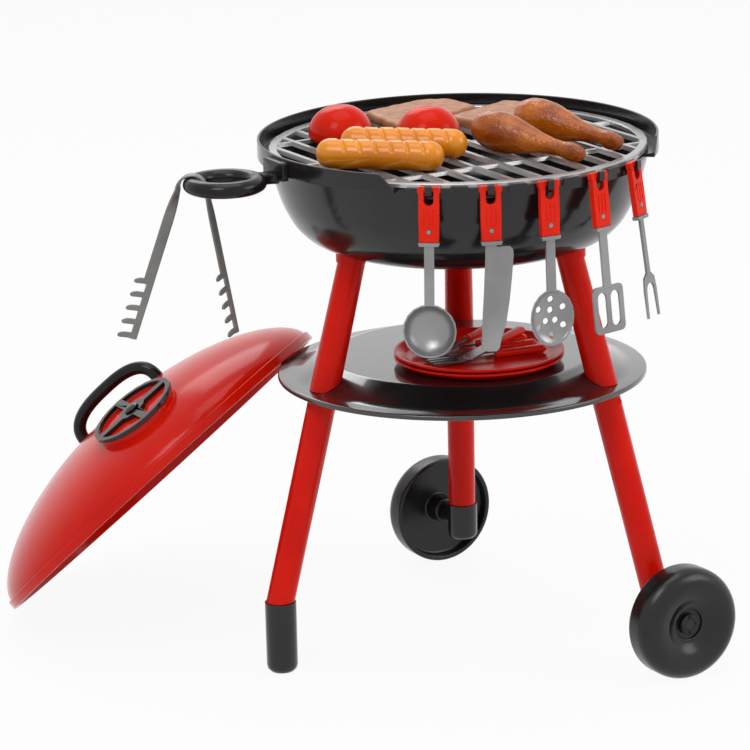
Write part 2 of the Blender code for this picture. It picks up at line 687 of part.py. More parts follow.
def grate(silver, parent):
    inner_radius = GRATE_RADIUS - GRATE_RING_WIDTH
    middle_radius = GRATE_RADIUS - GRATE_RING_WIDTH / 2
    bottom = GRATE_TOP - GRATE_RING_THICKNESS
    edge = GRATE_RING_THICKNESS / 4
    outline = [
        (inner_radius, bottom), (inner_radius, GRATE_TOP - edge), (inner_radius + edge, GRATE_TOP),
        (GRATE_RADIUS - edge, GRATE_TOP), (GRATE_RADIUS, GRATE_TOP - edge), (GRATE_RADIUS, bottom)]
    ring = turned("grate", outline, BIG_ROUND_STEPS, ring=True)

    def bar(name, offset, thickness, along):
        half = math.sqrt(middle_radius ** 2 - offset ** 2)
        top = GRATE_TOP - GRATE_BAR_DROP - (GRATE_BAR_THICKNESS - thickness) / 2
        place = turn(along) @ shift(offset, 0, top - thickness)
        return box(name, GRATE_BAR_WIDTH, 2 * half, thickness, place, top_share=0.7)

    bar_count = 2 * int(inner_radius / GRATE_BAR_PITCH)
    cross_count = 2 * int(inner_radius / GRATE_CROSS_PITCH) + 1
    for i in range(bar_count):
        offset = (i - (bar_count - 1) / 2) * GRATE_BAR_PITCH
        join(ring, bar(f"bar_{i + 1}", offset, GRATE_BAR_THICKNESS, 0))
    for i in range(cross_count):
        offset = (i - (cross_count - 1) / 2) * GRATE_CROSS_PITCH
        join(ring, bar(f"cross_bar_{i + 1}", offset, GRATE_CROSS_THICKNESS, math.pi / 2))
    foot_height = bottom - LEDGE_TOP - GAP + GRATE_RING_THICKNESS / 2
    for i, azimuth in enumerate(GRATE_FOOT_AZIMUTHS, start=1):
        reach = (GRATE_RADIUS + BOWL_MOUTH_RADIUS - BOWL_WALL) / 2 - GRATE_FOOT_WIDTH / 2
        place = radial_frame(azimuth, max(reach, GRATE_RADIUS - GRATE_FOOT_WIDTH / 2), LEDGE_TOP + GAP)
        join(ring, box(f"grate_foot_{i}", GRATE_FOOT_LENGTH, GRATE_FOOT_WIDTH, foot_height, place))
    return finish(ring, silver, parent)


def hook_azimuths():
    middle = (HOOK_COUNT - 1) / 2
    return [HOOK_ROW_AZIMUTH + (i - middle) * HOOK_PITCH_ANGLE for i in range(HOOK_COUNT)]


def hook_rail(black, parent):
    """The strip round the front of the rim, its tabs and its hooks, as one moulding."""
    inner = BOWL_MOUTH_RADIUS + GAP
    outer = inner + RAIL_THICKNESS
    top = LEDGE_TOP + FRONT_LIP
    rail = ring_part("hook_rail", top - RAIL_HEIGHT, top, inner, outer, HOOK_ROW_AZIMUTH, RAIL_HALF_ANGLE)

    back = -(HOOK_BACK_THICKNESS + RAIL_THICKNESS / 2)
    crown = GAP + GRIP_THICKNESS / 2
    tip = HOOK_NECK_LENGTH + HOOK_TIP_THICKNESS
    foot = top - RAIL_HEIGHT - HOOK_SADDLE_TOP
    side = [
        (back, -HOOK_SADDLE_FALL), (0, -HOOK_SADDLE_FALL), (crown, 0), (HOOK_NECK_LENGTH, 0),
        (HOOK_NECK_LENGTH, HOOK_TIP_RISE), (tip, HOOK_TIP_RISE - HOOK_TIP_THICKNESS / 3),
        (tip, -HOOK_NECK_THICKNESS / 2), (HOOK_NECK_LENGTH, -HOOK_NECK_THICKNESS),
        (0, -HOOK_NECK_THICKNESS), (0, foot + RAIL_THICKNESS), (back, foot + RAIL_THICKNESS)]
    for i, azimuth in enumerate(hook_azimuths(), start=1):
        place = radial_frame(azimuth, outer + HOOK_BACK_THICKNESS, HOOK_SADDLE_TOP) @ turn(-math.pi / 2)
        join(rail, plate_of(f"hook_{i}", [side], HOOK_WIDTH, place))
    for i, azimuth in enumerate(hook_azimuths()[:-1], start=1):
        place = radial_frame(azimuth + HOOK_PITCH_ANGLE / 2, outer, top - RAIL_HEIGHT / 2)
        height = RAIL_HEIGHT / 2 + TAB_RISE
        join(rail, box(f"tab_{i}", TAB_WIDTH, RAIL_THICKNESS, height, place, top_share=0.8))
    return finish(rail, black, parent)


def grip_outline():
    """The grip from its top bar down to its lower end, seen from the front."""
    half_bar = GRIP_BAR_WIDTH / 2
    half = GRIP_WIDTH / 2
    bar_base = -GRIP_BAR_HEIGHT * 0.25
    half_base = half * GRIP_BASE_SHARE
    return [
        (-half_bar, GRIP_BAR_HEIGHT * 0.8), (-half_bar * 0.93, GRIP_BAR_HEIGHT),
        (half_bar * 0.93, GRIP_BAR_HEIGHT), (half_bar, GRIP_BAR_HEIGHT * 0.8), (half_bar, bar_base),
        (half * 0.98, bar_base * 2), (half, -GRIP_LENGTH / 2), (half_base, -GRIP_LENGTH),
        (-half_base, -GRIP_LENGTH), (-half, -GRIP_LENGTH / 2), (-half * 0.98, bar_base * 2),
        (-half_bar, bar_base)]


def utensil_grip(name, place, red, parent):
    hole = arc(0, GRIP_HOLE_RADIUS - GRIP_HOLE_HEIGHT, GRIP_HOLE_RADIUS, -math.pi, 0, 6)
    hole += [(GRIP_HOLE_RADIUS * 0.92, 0), (-GRIP_HOLE_RADIUS * 0.92, 0)]
    grip = plate_of(name, [grip_outline(), hole], GRIP_THICKNESS, place)
    rivet = place @ shift(z=RIVET_RISE - GRIP_LENGTH) @ turn(math.pi / 2, "X")
    cut(grip, rod(
        f"{name}_rivet_hole", RIVET_RADIUS + GAP, GRIP_THICKNESS + 2 * OVERRUN,
        rivet @ shift(z=-GRIP_THICKNESS / 2 - OVERRUN), steps=FINE_STEPS))
    cut(grip, box(
        f"{name}_tang_slot", TANG_WIDTH + 2 * GAP, TOOL_THICKNESS + 2 * GAP, TANG_LENGTH + GAP + OVERRUN,
        place @ shift(z=-GRIP_LENGTH - OVERRUN)))
    for i in range(GRIP_GROOVE_COUNT):
        x = (i - (GRIP_GROOVE_COUNT - 1) / 2) * GRIP_GROOVE_PITCH
        at_groove = place @ shift(
            x, -GRIP_THICKNESS / 2 - OVERRUN / 2 + GRIP_GROOVE_DEPTH, -GRIP_GROOVE_TOP - GRIP_GROOVE_LENGTH)
        cut(grip, box(f"{name}_groove_{i + 1}", GRIP_GROOVE_WIDTH, OVERRUN, GRIP_GROOVE_LENGTH, at_groove))
    return finish(grip, red, parent)


def shank_outline(width, length):
    """The flat bar of a tool from its tang down to its head."""
    top = TANG_LENGTH
    collar = -COLLAR_HEIGHT / 2
    return [
        (-TANG_WIDTH / 2, top), (TANG_WIDTH / 2, top), (TANG_WIDTH / 2, collar), (width / 2, collar),
        (width / 2, -length), (-width / 2, -length), (-width / 2, collar), (-TANG_WIDTH / 2, collar)]


def dished_head(name, half_width, half_height, depth, wall, place, rings=5, steps=ROUND_STEPS):
    """A hollow head, open to the front: half an ellipsoid, scaled from a turned shell."""
    angles = np.linspace(0, math.pi / 2, rings)[:-1]
    outer = [(half_width * math.cos(a), depth * math.sin(a)) for a in angles]
    inner = [((half_width - wall) * math.cos(a), (depth - wall) * math.sin(a)) for a in angles]
    outline = [(0, depth)] + outer[::-1] + inner + [(0, depth - wall)]
    stretch = Matrix.Diagonal((1, 1, half_height / half_width, 1))
    return turned(name, outline, steps, place=place @ stretch @ turn(-math.pi / 2, "X"))


def utensil_tool(name, place, shank_width, head_drop, silver, parent):
    """The tang, collar, rivet and shank of a tool. Its head is joined on afterwards."""
    at_base = place @ shift(z=-GRIP_LENGTH)
    tool = plate_of(name, [shank_outline(shank_width, head_drop)], TOOL_THICKNESS, at_base)
    join(tool, box(
        f"{name}_collar", COLLAR_WIDTH * 0.9, COLLAR_THICKNESS, COLLAR_HEIGHT,
        at_base @ shift(z=-COLLAR_HEIGHT - GAP), top_share=1 / 0.9))
    rivet = at_base @ shift(z=RIVET_RISE) @ turn(math.pi / 2, "X")
    rivet_length = GRIP_THICKNESS + 2 * RIVET_PROUD
    join(tool, rod(
        f"{name}_rivet", RIVET_RADIUS, rivet_length, rivet @ shift(z=-rivet_length / 2), steps=FINE_STEPS))
    return finish(tool, silver, parent)


def ladle_head(tool, place):
    """A round bowl that opens to the front."""
    at_head = place @ shift(y=TOOL_THICKNESS / 2 - LADLE_WALL, z=-GRIP_LENGTH - LADLE_CENTRE_DROP)
    join(tool, dished_head("ladle_bowl", LADLE_RADIUS, LADLE_RADIUS, LADLE_DEPTH, LADLE_WALL, at_head))


def knife_head(tool, place):
    outline = [(x * KNIFE_WIDTH, -z * KNIFE_LENGTH) for x, z in KNIFE_OUTLINE_SHARES]
    at_head = place @ shift(z=-GRIP_LENGTH - COLLAR_HEIGHT - GAP)
    join(tool, plate_of("knife_blade", [outline], TOOL_THICKNESS - 2 * GAP, at_head))


def spoon_head(tool, place):
    """A shallow oval bowl with a ring of holes round three more."""
    at_head = place @ shift(y=TOOL_THICKNESS / 2 - LADLE_WALL, z=-GRIP_LENGTH - SPOON_CENTRE_DROP)
    join(tool, dished_head(
        "spoon_bowl", SPOON_WIDTH / 2, SPOON_HEIGHT / 2, SPOON_DEPTH, LADLE_WALL, at_head))
    rings = ((SPOON_OUTER_HOLES, SPOON_OUTER_SHARE), (SPOON_INNER_HOLES, SPOON_INNER_SHARE))
    for count, share in rings:
        for i in range(count):
            angle = math.pi / 2 + 2 * math.pi * i / count
            x = share * SPOON_WIDTH / 2 * math.cos(angle)
            z = share * SPOON_HEIGHT / 2 * math.sin(angle)
            bore = at_head @ shift(x, -OVERRUN, z) @ turn(-math.pi / 2, "X")
            cut(tool, rod(
                f"spoon_hole_{count}_{i + 1}", SPOON_HOLE_RADIUS, SPOON_DEPTH + 2 * OVERRUN, bore,
                steps=FINE_STEPS))


def spatula_head(tool, place):
    half = SPATULA_WIDTH / 2
    top = -SPATULA_TOP_DROP
    bottom = top - SPATULA_HEIGHT
    head = rounded([(-half, top), (-half, bottom), (half, bottom), (half, top)], SPATULA_CORNER)
    middle = (top + bottom) / 2
    slots = []
    for side in (-1, 1):
        x = side * SPATULA_SLOT_PITCH / 2
        run = (SPATULA_SLOT_LENGTH - SPATULA_SLOT_WIDTH) / 2
        slots.append(
            arc(x, middle + run, SPATULA_SLOT_WIDTH / 2, 0, math.pi, 6)
            + arc(x, middle - run, SPATULA_SLOT_WIDTH / 2, math.pi, 2 * math.pi, 6))
    at_head = place @ shift(z=-GRIP_LENGTH)
    join(tool, plate_of("spatula_blade", [head] + slots, TOOL_THICKNESS - 2 * GAP, at_head))


def fork_head(tool, place):
    """Two prongs that taper to their tips, under a rounded yoke."""
    half = FORK_WIDTH / 2
    top = -FORK_TOP_DROP
    bottom = top - FORK_LENGTH
    inside = half - FORK_PRONG_WIDTH
    tip_in = half - FORK_TIP_WIDTH
    crotch = top - FORK_CROTCH_DROP - inside
    yoke = [(0.35 * half, top), (0.85 * half, top - FORK_CROTCH_DROP / 2), (half, crotch)]
    right = yoke + [(half, bottom), (tip_in, bottom), (inside, crotch)]
    left = [(-x, z) for x, z in right]
    outline = right + arc(0, crotch, inside, 0, math.pi, 6)[1:-1] + left[::-1]
    at_head = place @ shift(z=-GRIP_LENGTH)
    join(tool, plate_of("fork_prongs", [outline], TOOL_THICKNESS - 2 * GAP, at_head))


def utensils(red, silver, parent):
    """Five utensils, each hung from its hook and free to swing outward about the hook's saddle."""
    kinds = (
        ("ladle", SHANK_WIDTH, LADLE_CENTRE_DROP - LADLE_RADIUS * 0.93, ladle_head),
        ("knife", SHANK_WIDTH, COLLAR_HEIGHT + KNIFE_LENGTH / 4, knife_head),
        ("slotted_spoon", SHANK_WIDTH, SPOON_CENTRE_DROP - SPOON_HEIGHT / 2 * 0.96, spoon_head),
        ("spatula", SHANK_WIDTH, SPATULA_TOP_DROP + SPATULA_CORNER / 2, spatula_head),
        ("fork", FORK_SHANK_WIDTH, FORK_TOP_DROP + FORK_CROTCH_DROP / 2, fork_head))
    for (kind, width, drop, head), azimuth, lean in zip(kinds, hook_azimuths(), UTENSIL_LEANS):
        hinge = radial_frame(azimuth, HOOK_HINGE_REACH, HOOK_SADDLE_TOP + GAP) @ turn(-lean, "X")
        body = empty(f"{kind}_hinge", hinge, parent)
        utensil_grip(f"{kind}_grip", hinge, red, body)
        tool = utensil_tool(f"{kind}_tool", hinge, width, drop, silver, body)
        head(tool, hinge)


def handle_screw_places():
    """Frames inside the band at the side handle's screws, with Z pointing into the kettle."""
    inner = RIM_RADIUS - BAND_WALL
    height = HANDLE_PLATE_TOP - HANDLE_SCREW_DROP
    for side in (-1, 1):
        azimuth = LOOP_AZIMUTH + side * HANDLE_SCREW_PITCH / 2 / inner
        flat_reach = inner * math.cos(math.pi / BIG_ROUND_STEPS) - SCREW_HEAD_RADIUS ** 2 / inner - GAP
        yield radial_frame(azimuth, flat_reach, height) @ turn(-math.pi / 2, "X")


def side_handle(black, steel, parent):
    loop_place = radial_frame(LOOP_AZIMUTH, LOOP_CENTRE_REACH, LOOP_HEIGHT)
    section = ellipse(LOOP_RADIUS, 0, LOOP_TUBE_WIDTH / 2, LOOP_TUBE_HEIGHT / 2, FINE_STEPS)
    handle = turned("side_handle", section, ROUND_STEPS, ring=True, place=loop_place)
    plate_reach = RIM_RADIUS + GAP
    stem_length = LOOP_CENTRE_REACH - LOOP_RADIUS - plate_reach
    stem_low = LOOP_HEIGHT - STEM_HEIGHT / 2
    join(handle, box(
        "handle_stem", STEM_WIDTH, stem_length, STEM_HEIGHT,
        radial_frame(LOOP_AZIMUTH, plate_reach + stem_length / 2, stem_low), top_share=0.8))
    plate_depth = HANDLE_PLATE_THICKNESS + OVERRUN
    join(handle, box(
        "handle_plate", HANDLE_PLATE_WIDTH, plate_depth, HANDLE_PLATE_HEIGHT,
        radial_frame(LOOP_AZIMUTH, RIM_RADIUS + HANDLE_PLATE_THICKNESS - plate_depth / 2,
                     HANDLE_PLATE_TOP - HANDLE_PLATE_HEIGHT)))
    bottom = HANDLE_PLATE_TOP - HANDLE_PLATE_HEIGHT - STEM_HEIGHT - OVERRUN
    cut(handle, rod(
        "handle_seat", plate_reach, HANDLE_PLATE_HEIGHT + STEM_HEIGHT + 3 * OVERRUN, shift(z=bottom),
        steps=4 * BIG_ROUND_STEPS))
    for number, place in enumerate(handle_screw_places(), start=1):
        bite = BAND_WALL + SCREW_BITE
        cut(handle, rod(
            f"handle_pilot_{number}", SCREW_SHANK_RADIUS + GAP, bite + 2 * GAP,
            place @ shift(z=-bite - 2 * GAP), steps=FINE_STEPS))
        screw_piece(f"side_handle_screw_{number}", bite, place, parent, steel)
    return finish(handle, black, parent)


def legs(red, parent):
    """The three legs, each an upper and a lower tube, with the nut that holds it to the bowl."""
    shelf_reach = LEG_SHELF_REACH
    wide = SHELF_RADIUS + OVERRUN
    for azimuth, side in zip(LEG_AZIMUTHS, LEG_NAMES):
        skirt = skirt_height(shelf_reach)
        run = OVERRUN + UPPER_LEG_BASE_RADIUS
        up = 1 / math.cos(LEG_TILT)
        low = skirt - run
        high = BOWL_BOTTOM - LEG_PAD_PROUD - GAP
        upper = rod(
            f"upper_leg_{side}", UPPER_LEG_BASE_RADIUS, (high + OVERRUN - low) * up, leg_frame(azimuth, low),
            UPPER_LEG_TOP_RADIUS, ROUND_STEPS)
        over = UPPER_LEG_TOP_RADIUS + OVERRUN
        cut(upper, box(f"upper_leg_top_cut_{side}", 2 * over, 2 * over, 2 * over,
                       radial_frame(azimuth, leg_reach(high), high)))
        over_shelf = [(radius, height + GAP) for radius, height in shelf_levels()]
        foot_outline = [(0, low - 2 * run), (wide, low - 2 * run)] + over_shelf[::-1]
        cut(upper, turned(f"upper_leg_foot_cut_{side}", foot_outline, BIG_ROUND_STEPS))
        spigot_top = skirt + LEG_SPIGOT_LENGTH
        bore = leg_frame(azimuth, low - 2 * run)
        bore_length = (spigot_top + GAP - low + 2 * run) * up + GAP
        cut(upper, rod(f"upper_leg_bore_{side}", LEG_SPIGOT_RADIUS + GAP, bore_length, bore))
        stud_height = LEG_STUD_ROOT + LEG_PAD_PROUD + GAP + LEG_PAD_HEIGHT + LEG_NUT_HEIGHT - LEG_NUT_TOP_WALL
        stud = radial_frame(azimuth, LEG_TOP_REACH, high - LEG_STUD_ROOT)
        join(upper, rod(f"leg_stud_{side}", LEG_STUD_RADIUS, stud_height - GAP, stud))
        finish(upper, red, parent)

        foot = CAP_TOP + GAP
        start = foot - OVERRUN
        lower = rod(
            f"lower_leg_{side}", LOWER_LEG_BASE_RADIUS, (skirt + run - start) * up, leg_frame(azimuth, start),
            LOWER_LEG_TOP_RADIUS, ROUND_STEPS)
        under = skirt_height(shelf_reach) - LEG_BUTTON_DROP
        button_reach = LOWER_LEG_TOP_RADIUS + LEG_BUTTON_PROUD - LEG_BUTTON_RADIUS
        button = leg_frame(azimuth, under) @ shift(y=-button_reach)
        join(lower, ball(f"leg_button_{side}", LEG_BUTTON_RADIUS, button))
        under_shelf = [(radius, height - shelf_drop() - GAP) for radius, height in shelf_levels()]
        top_outline = [(0, skirt + 4 * run), (wide, skirt + 4 * run)] + under_shelf[::-1]
        cut(lower, turned(f"lower_leg_top_cut_{side}", top_outline, BIG_ROUND_STEPS))
        over = LOWER_LEG_BASE_RADIUS + OVERRUN
        cut(lower, box(f"lower_leg_foot_cut_{side}", 2 * over, 2 * over, 2 * over,
                       radial_frame(azimuth, leg_reach(foot), foot - 2 * over)))
        root = skirt - 2 * run
        join(lower, rod(
            f"leg_spigot_{side}", LEG_SPIGOT_RADIUS, (spigot_top - root) * up, leg_frame(azimuth, root),
            steps=SMALL_STEPS))
        cap_spigot = radial_frame(azimuth, LEG_FOOT_REACH, foot - CAP_SPIGOT_LENGTH)
        join(lower, rod(f"cap_spigot_{side}", CAP_SPIGOT_RADIUS, CAP_SPIGOT_LENGTH + OVERRUN, cap_spigot))
        finish(lower, red, parent)

        seat = BOWL_BOTTOM + LEG_PAD_HEIGHT + GAP
        corner = LEG_NUT_RADIUS - LEG_NUT_ROUND
        bore_top = LEG_NUT_HEIGHT - LEG_NUT_TOP_WALL
        outline = [
            (0, LEG_NUT_HEIGHT), (corner, LEG_NUT_HEIGHT), (LEG_NUT_RADIUS, LEG_NUT_HEIGHT - LEG_NUT_ROUND),
            (LEG_NUT_RADIUS, 0), (LEG_STUD_RADIUS + GAP, 0), (LEG_STUD_RADIUS + GAP, bore_top), (0, bore_top)]
        nut_place = radial_frame(azimuth, LEG_TOP_REACH, seat)
        finish(turned(f"leg_nut_{side}", outline, ROUND_STEPS, place=nut_place), red, parent)


def shelf_drop():
    """The shelf's thickness, measured straight down through its skirt."""
    return SHELF_WALL * math.sqrt(1 + SKIRT_SLOPE ** 2)


def shelf_levels():
    """The shelf's top as (radius, height) points: its plateau, the foot of its skirt and its flange."""
    wide = SHELF_RADIUS + OVERRUN
    return [
        (0, SHELF_PLATEAU_TOP), (SHELF_PLATEAU_RADIUS, SHELF_PLATEAU_TOP), (SHELF_FLANGE_RADIUS, FLANGE_TOP),
        (wide, SHELF_LIP_TOP)]


def shelf_top_outline():
    lip = SHELF_LIP_ROUND
    return shelf_levels()[:-1] + [
        (SHELF_RADIUS - lip, SHELF_LIP_TOP), (SHELF_RADIUS - lip * 0.35, SHELF_LIP_TOP - lip * 0.15),
        (SHELF_RADIUS, SHELF_LIP_TOP - lip * 0.65)]


def shelf(black, parent):
    drop = shelf_drop()
    under_edge = SHELF_RADIUS - SHELF_WALL
    lip_bottom = SHELF_LIP_TOP - SHELF_LIP_HEIGHT
    under = [(radius, height - drop) for radius, height in shelf_levels()[:-1]]
    lip = [(SHELF_RADIUS, lip_bottom), (under_edge, lip_bottom), (under_edge, SHELF_LIP_TOP - drop)]
    outline = shelf_top_outline() + lip + under[::-1]
    made = turned("shelf", outline, BIG_ROUND_STEPS)
    middle = skirt_height(LEG_SHELF_REACH)
    for azimuth, side in zip(LEG_AZIMUTHS, LEG_NAMES):
        run = LEG_SPIGOT_RADIUS + 2 * OVERRUN
        cut(made, rod(
            f"shelf_hole_{side}", LEG_SPIGOT_RADIUS + GAP, 2 * run / math.cos(LEG_TILT),
            leg_frame(azimuth, middle - run)))
    return finish(made, black, parent)


def leg_cap(name, bottom, bottom_round, x, y):
    """A turned cap, still without the bore for the leg's spigot."""
    rounding = arc(CAP_BASE_RADIUS - bottom_round, bottom + bottom_round, bottom_round, 0, -math.pi / 2, 3)
    outline = [(0, CAP_TOP), (CAP_TOP_RADIUS, CAP_TOP)] + rounding + [(0, bottom)]
    return turned(name, outline, ROUND_STEPS, place=shift(x, y))


def cut_cap_bore(cap, x, y):
    length = CAP_SPIGOT_LENGTH + OVERRUN
    floor = CAP_TOP - CAP_SPIGOT_LENGTH
    cut(cap, rod(f"{cap.name}_bore", CAP_SPIGOT_RADIUS + GAP, length, shift(x, y, floor), steps=ROUND_STEPS))


def wheels_and_caps(black, wheel_black, steel, parent):
    """The plain foot, and the two caps with a stub axle, each with a wheel and its retainer."""
    x = LEG_FOOT_REACH * math.cos(LEG_AZIMUTHS[0])
    y = LEG_FOOT_REACH * math.sin(LEG_AZIMUTHS[0])
    foot = leg_cap("foot_cap", 0, FOOT_ROUND, x, y)
    cut_cap_bore(foot, x, y)
    finish(foot, black, parent)
    hub_start = WHEEL_OFFSET - WHEEL_WIDTH / 2 - WHEEL_HUB_PROUD
    recess_floor = WHEEL_OFFSET + WHEEL_WIDTH / 2 - WHEEL_RECESS_DEPTH
    for azimuth, side in zip(LEG_AZIMUTHS[1:], LEG_NAMES[1:]):
        outward = 1 if azimuth > 0 else -1
        x = LEG_FOOT_REACH * math.cos(azimuth)
        y = LEG_FOOT_REACH * math.sin(azimuth)
        cap = leg_cap(f"axle_cap_{side}", AXLE_CAP_BOTTOM, AXLE_CAP_ROUND, x, y)
        axle = shift(x, y, WHEEL_RADIUS) @ turn(-outward * math.pi / 2, "X")
        join(cap, rod(f"axle_boss_{side}", AXLE_BOSS_RADIUS, hub_start - GAP, axle))
        cut_cap_bore(cap, x, y)
        pin_end = recess_floor + GAP + RETAINER_THICKNESS
        pin_root = CAP_BASE_RADIUS
        join(cap, rod(f"axle_pin_{side}", AXLE_PIN_RADIUS, pin_end - pin_root, axle @ shift(z=pin_root)))
        finish(cap, black, parent)
        body = empty(f"wheel_{side}_axle", axle, parent)
        wheel(f"wheel_{side}", axle, wheel_black, body)
        retainer(f"wheel_retainer_{side}", axle @ shift(z=recess_floor + GAP), steel, parent)


def wheel(name, axle, wheel_black, parent):
    inside = WHEEL_OFFSET - WHEEL_WIDTH / 2
    outside = WHEEL_OFFSET + WHEEL_WIDTH / 2
    bore = AXLE_PIN_RADIUS + GAP
    rim_inner = WHEEL_RADIUS - WHEEL_RIM_WALL
    outline = [
        (bore, inside - WHEEL_HUB_PROUD), (WHEEL_HUB_RADIUS, inside - WHEEL_HUB_PROUD),
        (WHEEL_HUB_RADIUS, inside + WHEEL_CAVITY_DEPTH), (rim_inner, inside + WHEEL_CAVITY_DEPTH * 0.7),
        (rim_inner, inside)]
    outline += arc(
        WHEEL_RADIUS - WHEEL_INNER_ROUND, inside + WHEEL_INNER_ROUND, WHEEL_INNER_ROUND, -math.pi / 2, 0, 2)
    outline += arc(
        WHEEL_RADIUS - WHEEL_OUTER_ROUND, outside - WHEEL_OUTER_ROUND, WHEEL_OUTER_ROUND, 0, math.pi / 2, 5)
    outline += [
        (WHEEL_DISH_RADIUS, outside - WHEEL_DISH_DEPTH), (WHEEL_MOUTH_RADIUS, outside - 2 * WHEEL_DISH_DEPTH),
        (WHEEL_RECESS_RADIUS, outside - 3 * WHEEL_DISH_DEPTH),
        (WHEEL_RECESS_RADIUS, outside - WHEEL_RECESS_DEPTH), (bore, outside - WHEEL_RECESS_DEPTH)]
    made = turned(name, outline, WHEEL_STEPS, ring=True, place=axle)
    return finish(made, wheel_black, parent)


def retainer(name, place, steel, parent):
    """A push-on washer with four teeth that keeps the wheel on its pin."""
    bore = AXLE_PIN_RADIUS + GAP
    outline = [
        (bore, 0), (RETAINER_RADIUS, 0), (RETAINER_RADIUS, RETAINER_THICKNESS),
        (bore, RETAINER_THICKNESS)]
    made = turned(name, outline, SMALL_STEPS, ring=True, place=place)
    reach = (RETAINER_RADIUS + bore) / 2
    for i in range(RETAINER_TOOTH_COUNT):
        spot = place @ turn(2 * math.pi * i / RETAINER_TOOTH_COUNT) @ shift(reach, 0, RETAINER_THICKNESS / 2)
        join(made, box(
            f"{name}_tooth_{i + 1}", (RETAINER_RADIUS - bore) * 0.7, RETAINER_TOOTH_WIDTH,
            RETAINER_THICKNESS / 2 + RETAINER_TOOTH_RISE, spot))
    return finish(made, steel, parent)


def lid_tilt():
    """The lean that puts the lid's lowest edge on the floor and its highest edge on the shelf's lip."""
    return math.asin((SHELF_LIP_TOP + LID_OVER_LIP - GAP) / (2 * LID_RADIUS))


def shelf_surface(radius):
    """The shelf's top height at each radius."""
    reach, height = np.array(shelf_top_outline()).T
    return np.interp(radius, reach, height)


def lid_place():
    """The lid's frame, Z out of the dome and +X up the slope, slid in until its edge meets the lip."""
    tilt = lid_tilt()
    facing = turn(LID_LEAN_AZIMUTH + math.pi) @ turn(-tilt, "Y")
    height = GAP + LID_RADIUS * math.sin(tilt)
    around = np.linspace(0, 2 * math.pi, LID_SEAT_SAMPLES)
    inner = LID_DOME_RADIUS - LID_WALL
    corners = [(LID_RADIUS, 0), (LID_RADIUS, LID_FLANGE_HEIGHT), (inner, 0), (inner, LID_FLANGE_HEIGHT)]
    circles = [np.c_[r * np.cos(around), r * np.sin(around), np.full_like(around, z)] for r, z in corners]
    turning = np.array(facing.to_3x3())
    points = np.vstack(circles) @ turning.T
    direction = np.array((math.cos(LID_PLACE_AZIMUTH), math.sin(LID_PLACE_AZIMUTH)))
    lip_bottom = SHELF_LIP_TOP - SHELF_LIP_HEIGHT

    def clear(distance):
        radius = np.hypot(points[:, 0] + distance * direction[0], points[:, 1] + distance * direction[1])
        level = points[:, 2] + height
        above = level > shelf_surface(radius) + GAP
        beside = radius > SHELF_RADIUS + GAP
        below = level < lip_bottom - GAP
        return bool(np.all(above | beside | below))

    near = SHELF_RADIUS
    far = SHELF_RADIUS + 2 * LID_RADIUS
    for _ in range(LID_SEAT_HALVINGS):
        middle = (near + far) / 2
        if clear(middle):
            far = middle
        else:
            near = middle
    return shift(direction[0] * far, direction[1] * far, height) @ facing


def dome_outline(radius, rise):
    """A dome's outline from its top down to the flange, fuller near its edge than a ball's cap."""
    points = []
    for a in np.linspace(0, math.pi / 2, LID_DOME_STEPS):
        level = rise * max(math.cos(a), 0) ** LID_DOME_POWER
        points.append((radius * math.sin(a), LID_FLANGE_HEIGHT + level))
    return points


def dome_height(reach, radius=LID_DOME_RADIUS, rise=LID_HEIGHT - LID_FLANGE_HEIGHT):
    """The dome's height over the rim's plane, at this distance from its axis."""
    return LID_FLANGE_HEIGHT + rise * (1 - (reach / radius) ** 2) ** (LID_DOME_POWER / 2)


def inner_height(reach):
    """The height of the dome's inner side over the rim's plane."""
    return dome_height(reach, LID_DOME_RADIUS - LID_WALL, LID_HEIGHT - LID_FLANGE_HEIGHT - LID_WALL)


def slope_at(reach):
    """How steeply the dome falls at this distance from its axis."""
    rise = LID_HEIGHT - LID_FLANGE_HEIGHT
    share = reach / LID_DOME_RADIUS
    return rise * LID_DOME_POWER * share / LID_DOME_RADIUS * (1 - share ** 2) ** (LID_DOME_POWER / 2 - 1)


def dome_frame(reach, side_angle):
    """A frame on the dome's outer side, Z along its normal."""
    lean = math.atan(slope_at(reach))
    return turn(side_angle) @ shift(x=reach, z=dome_height(reach)) @ turn(lean, "Y")


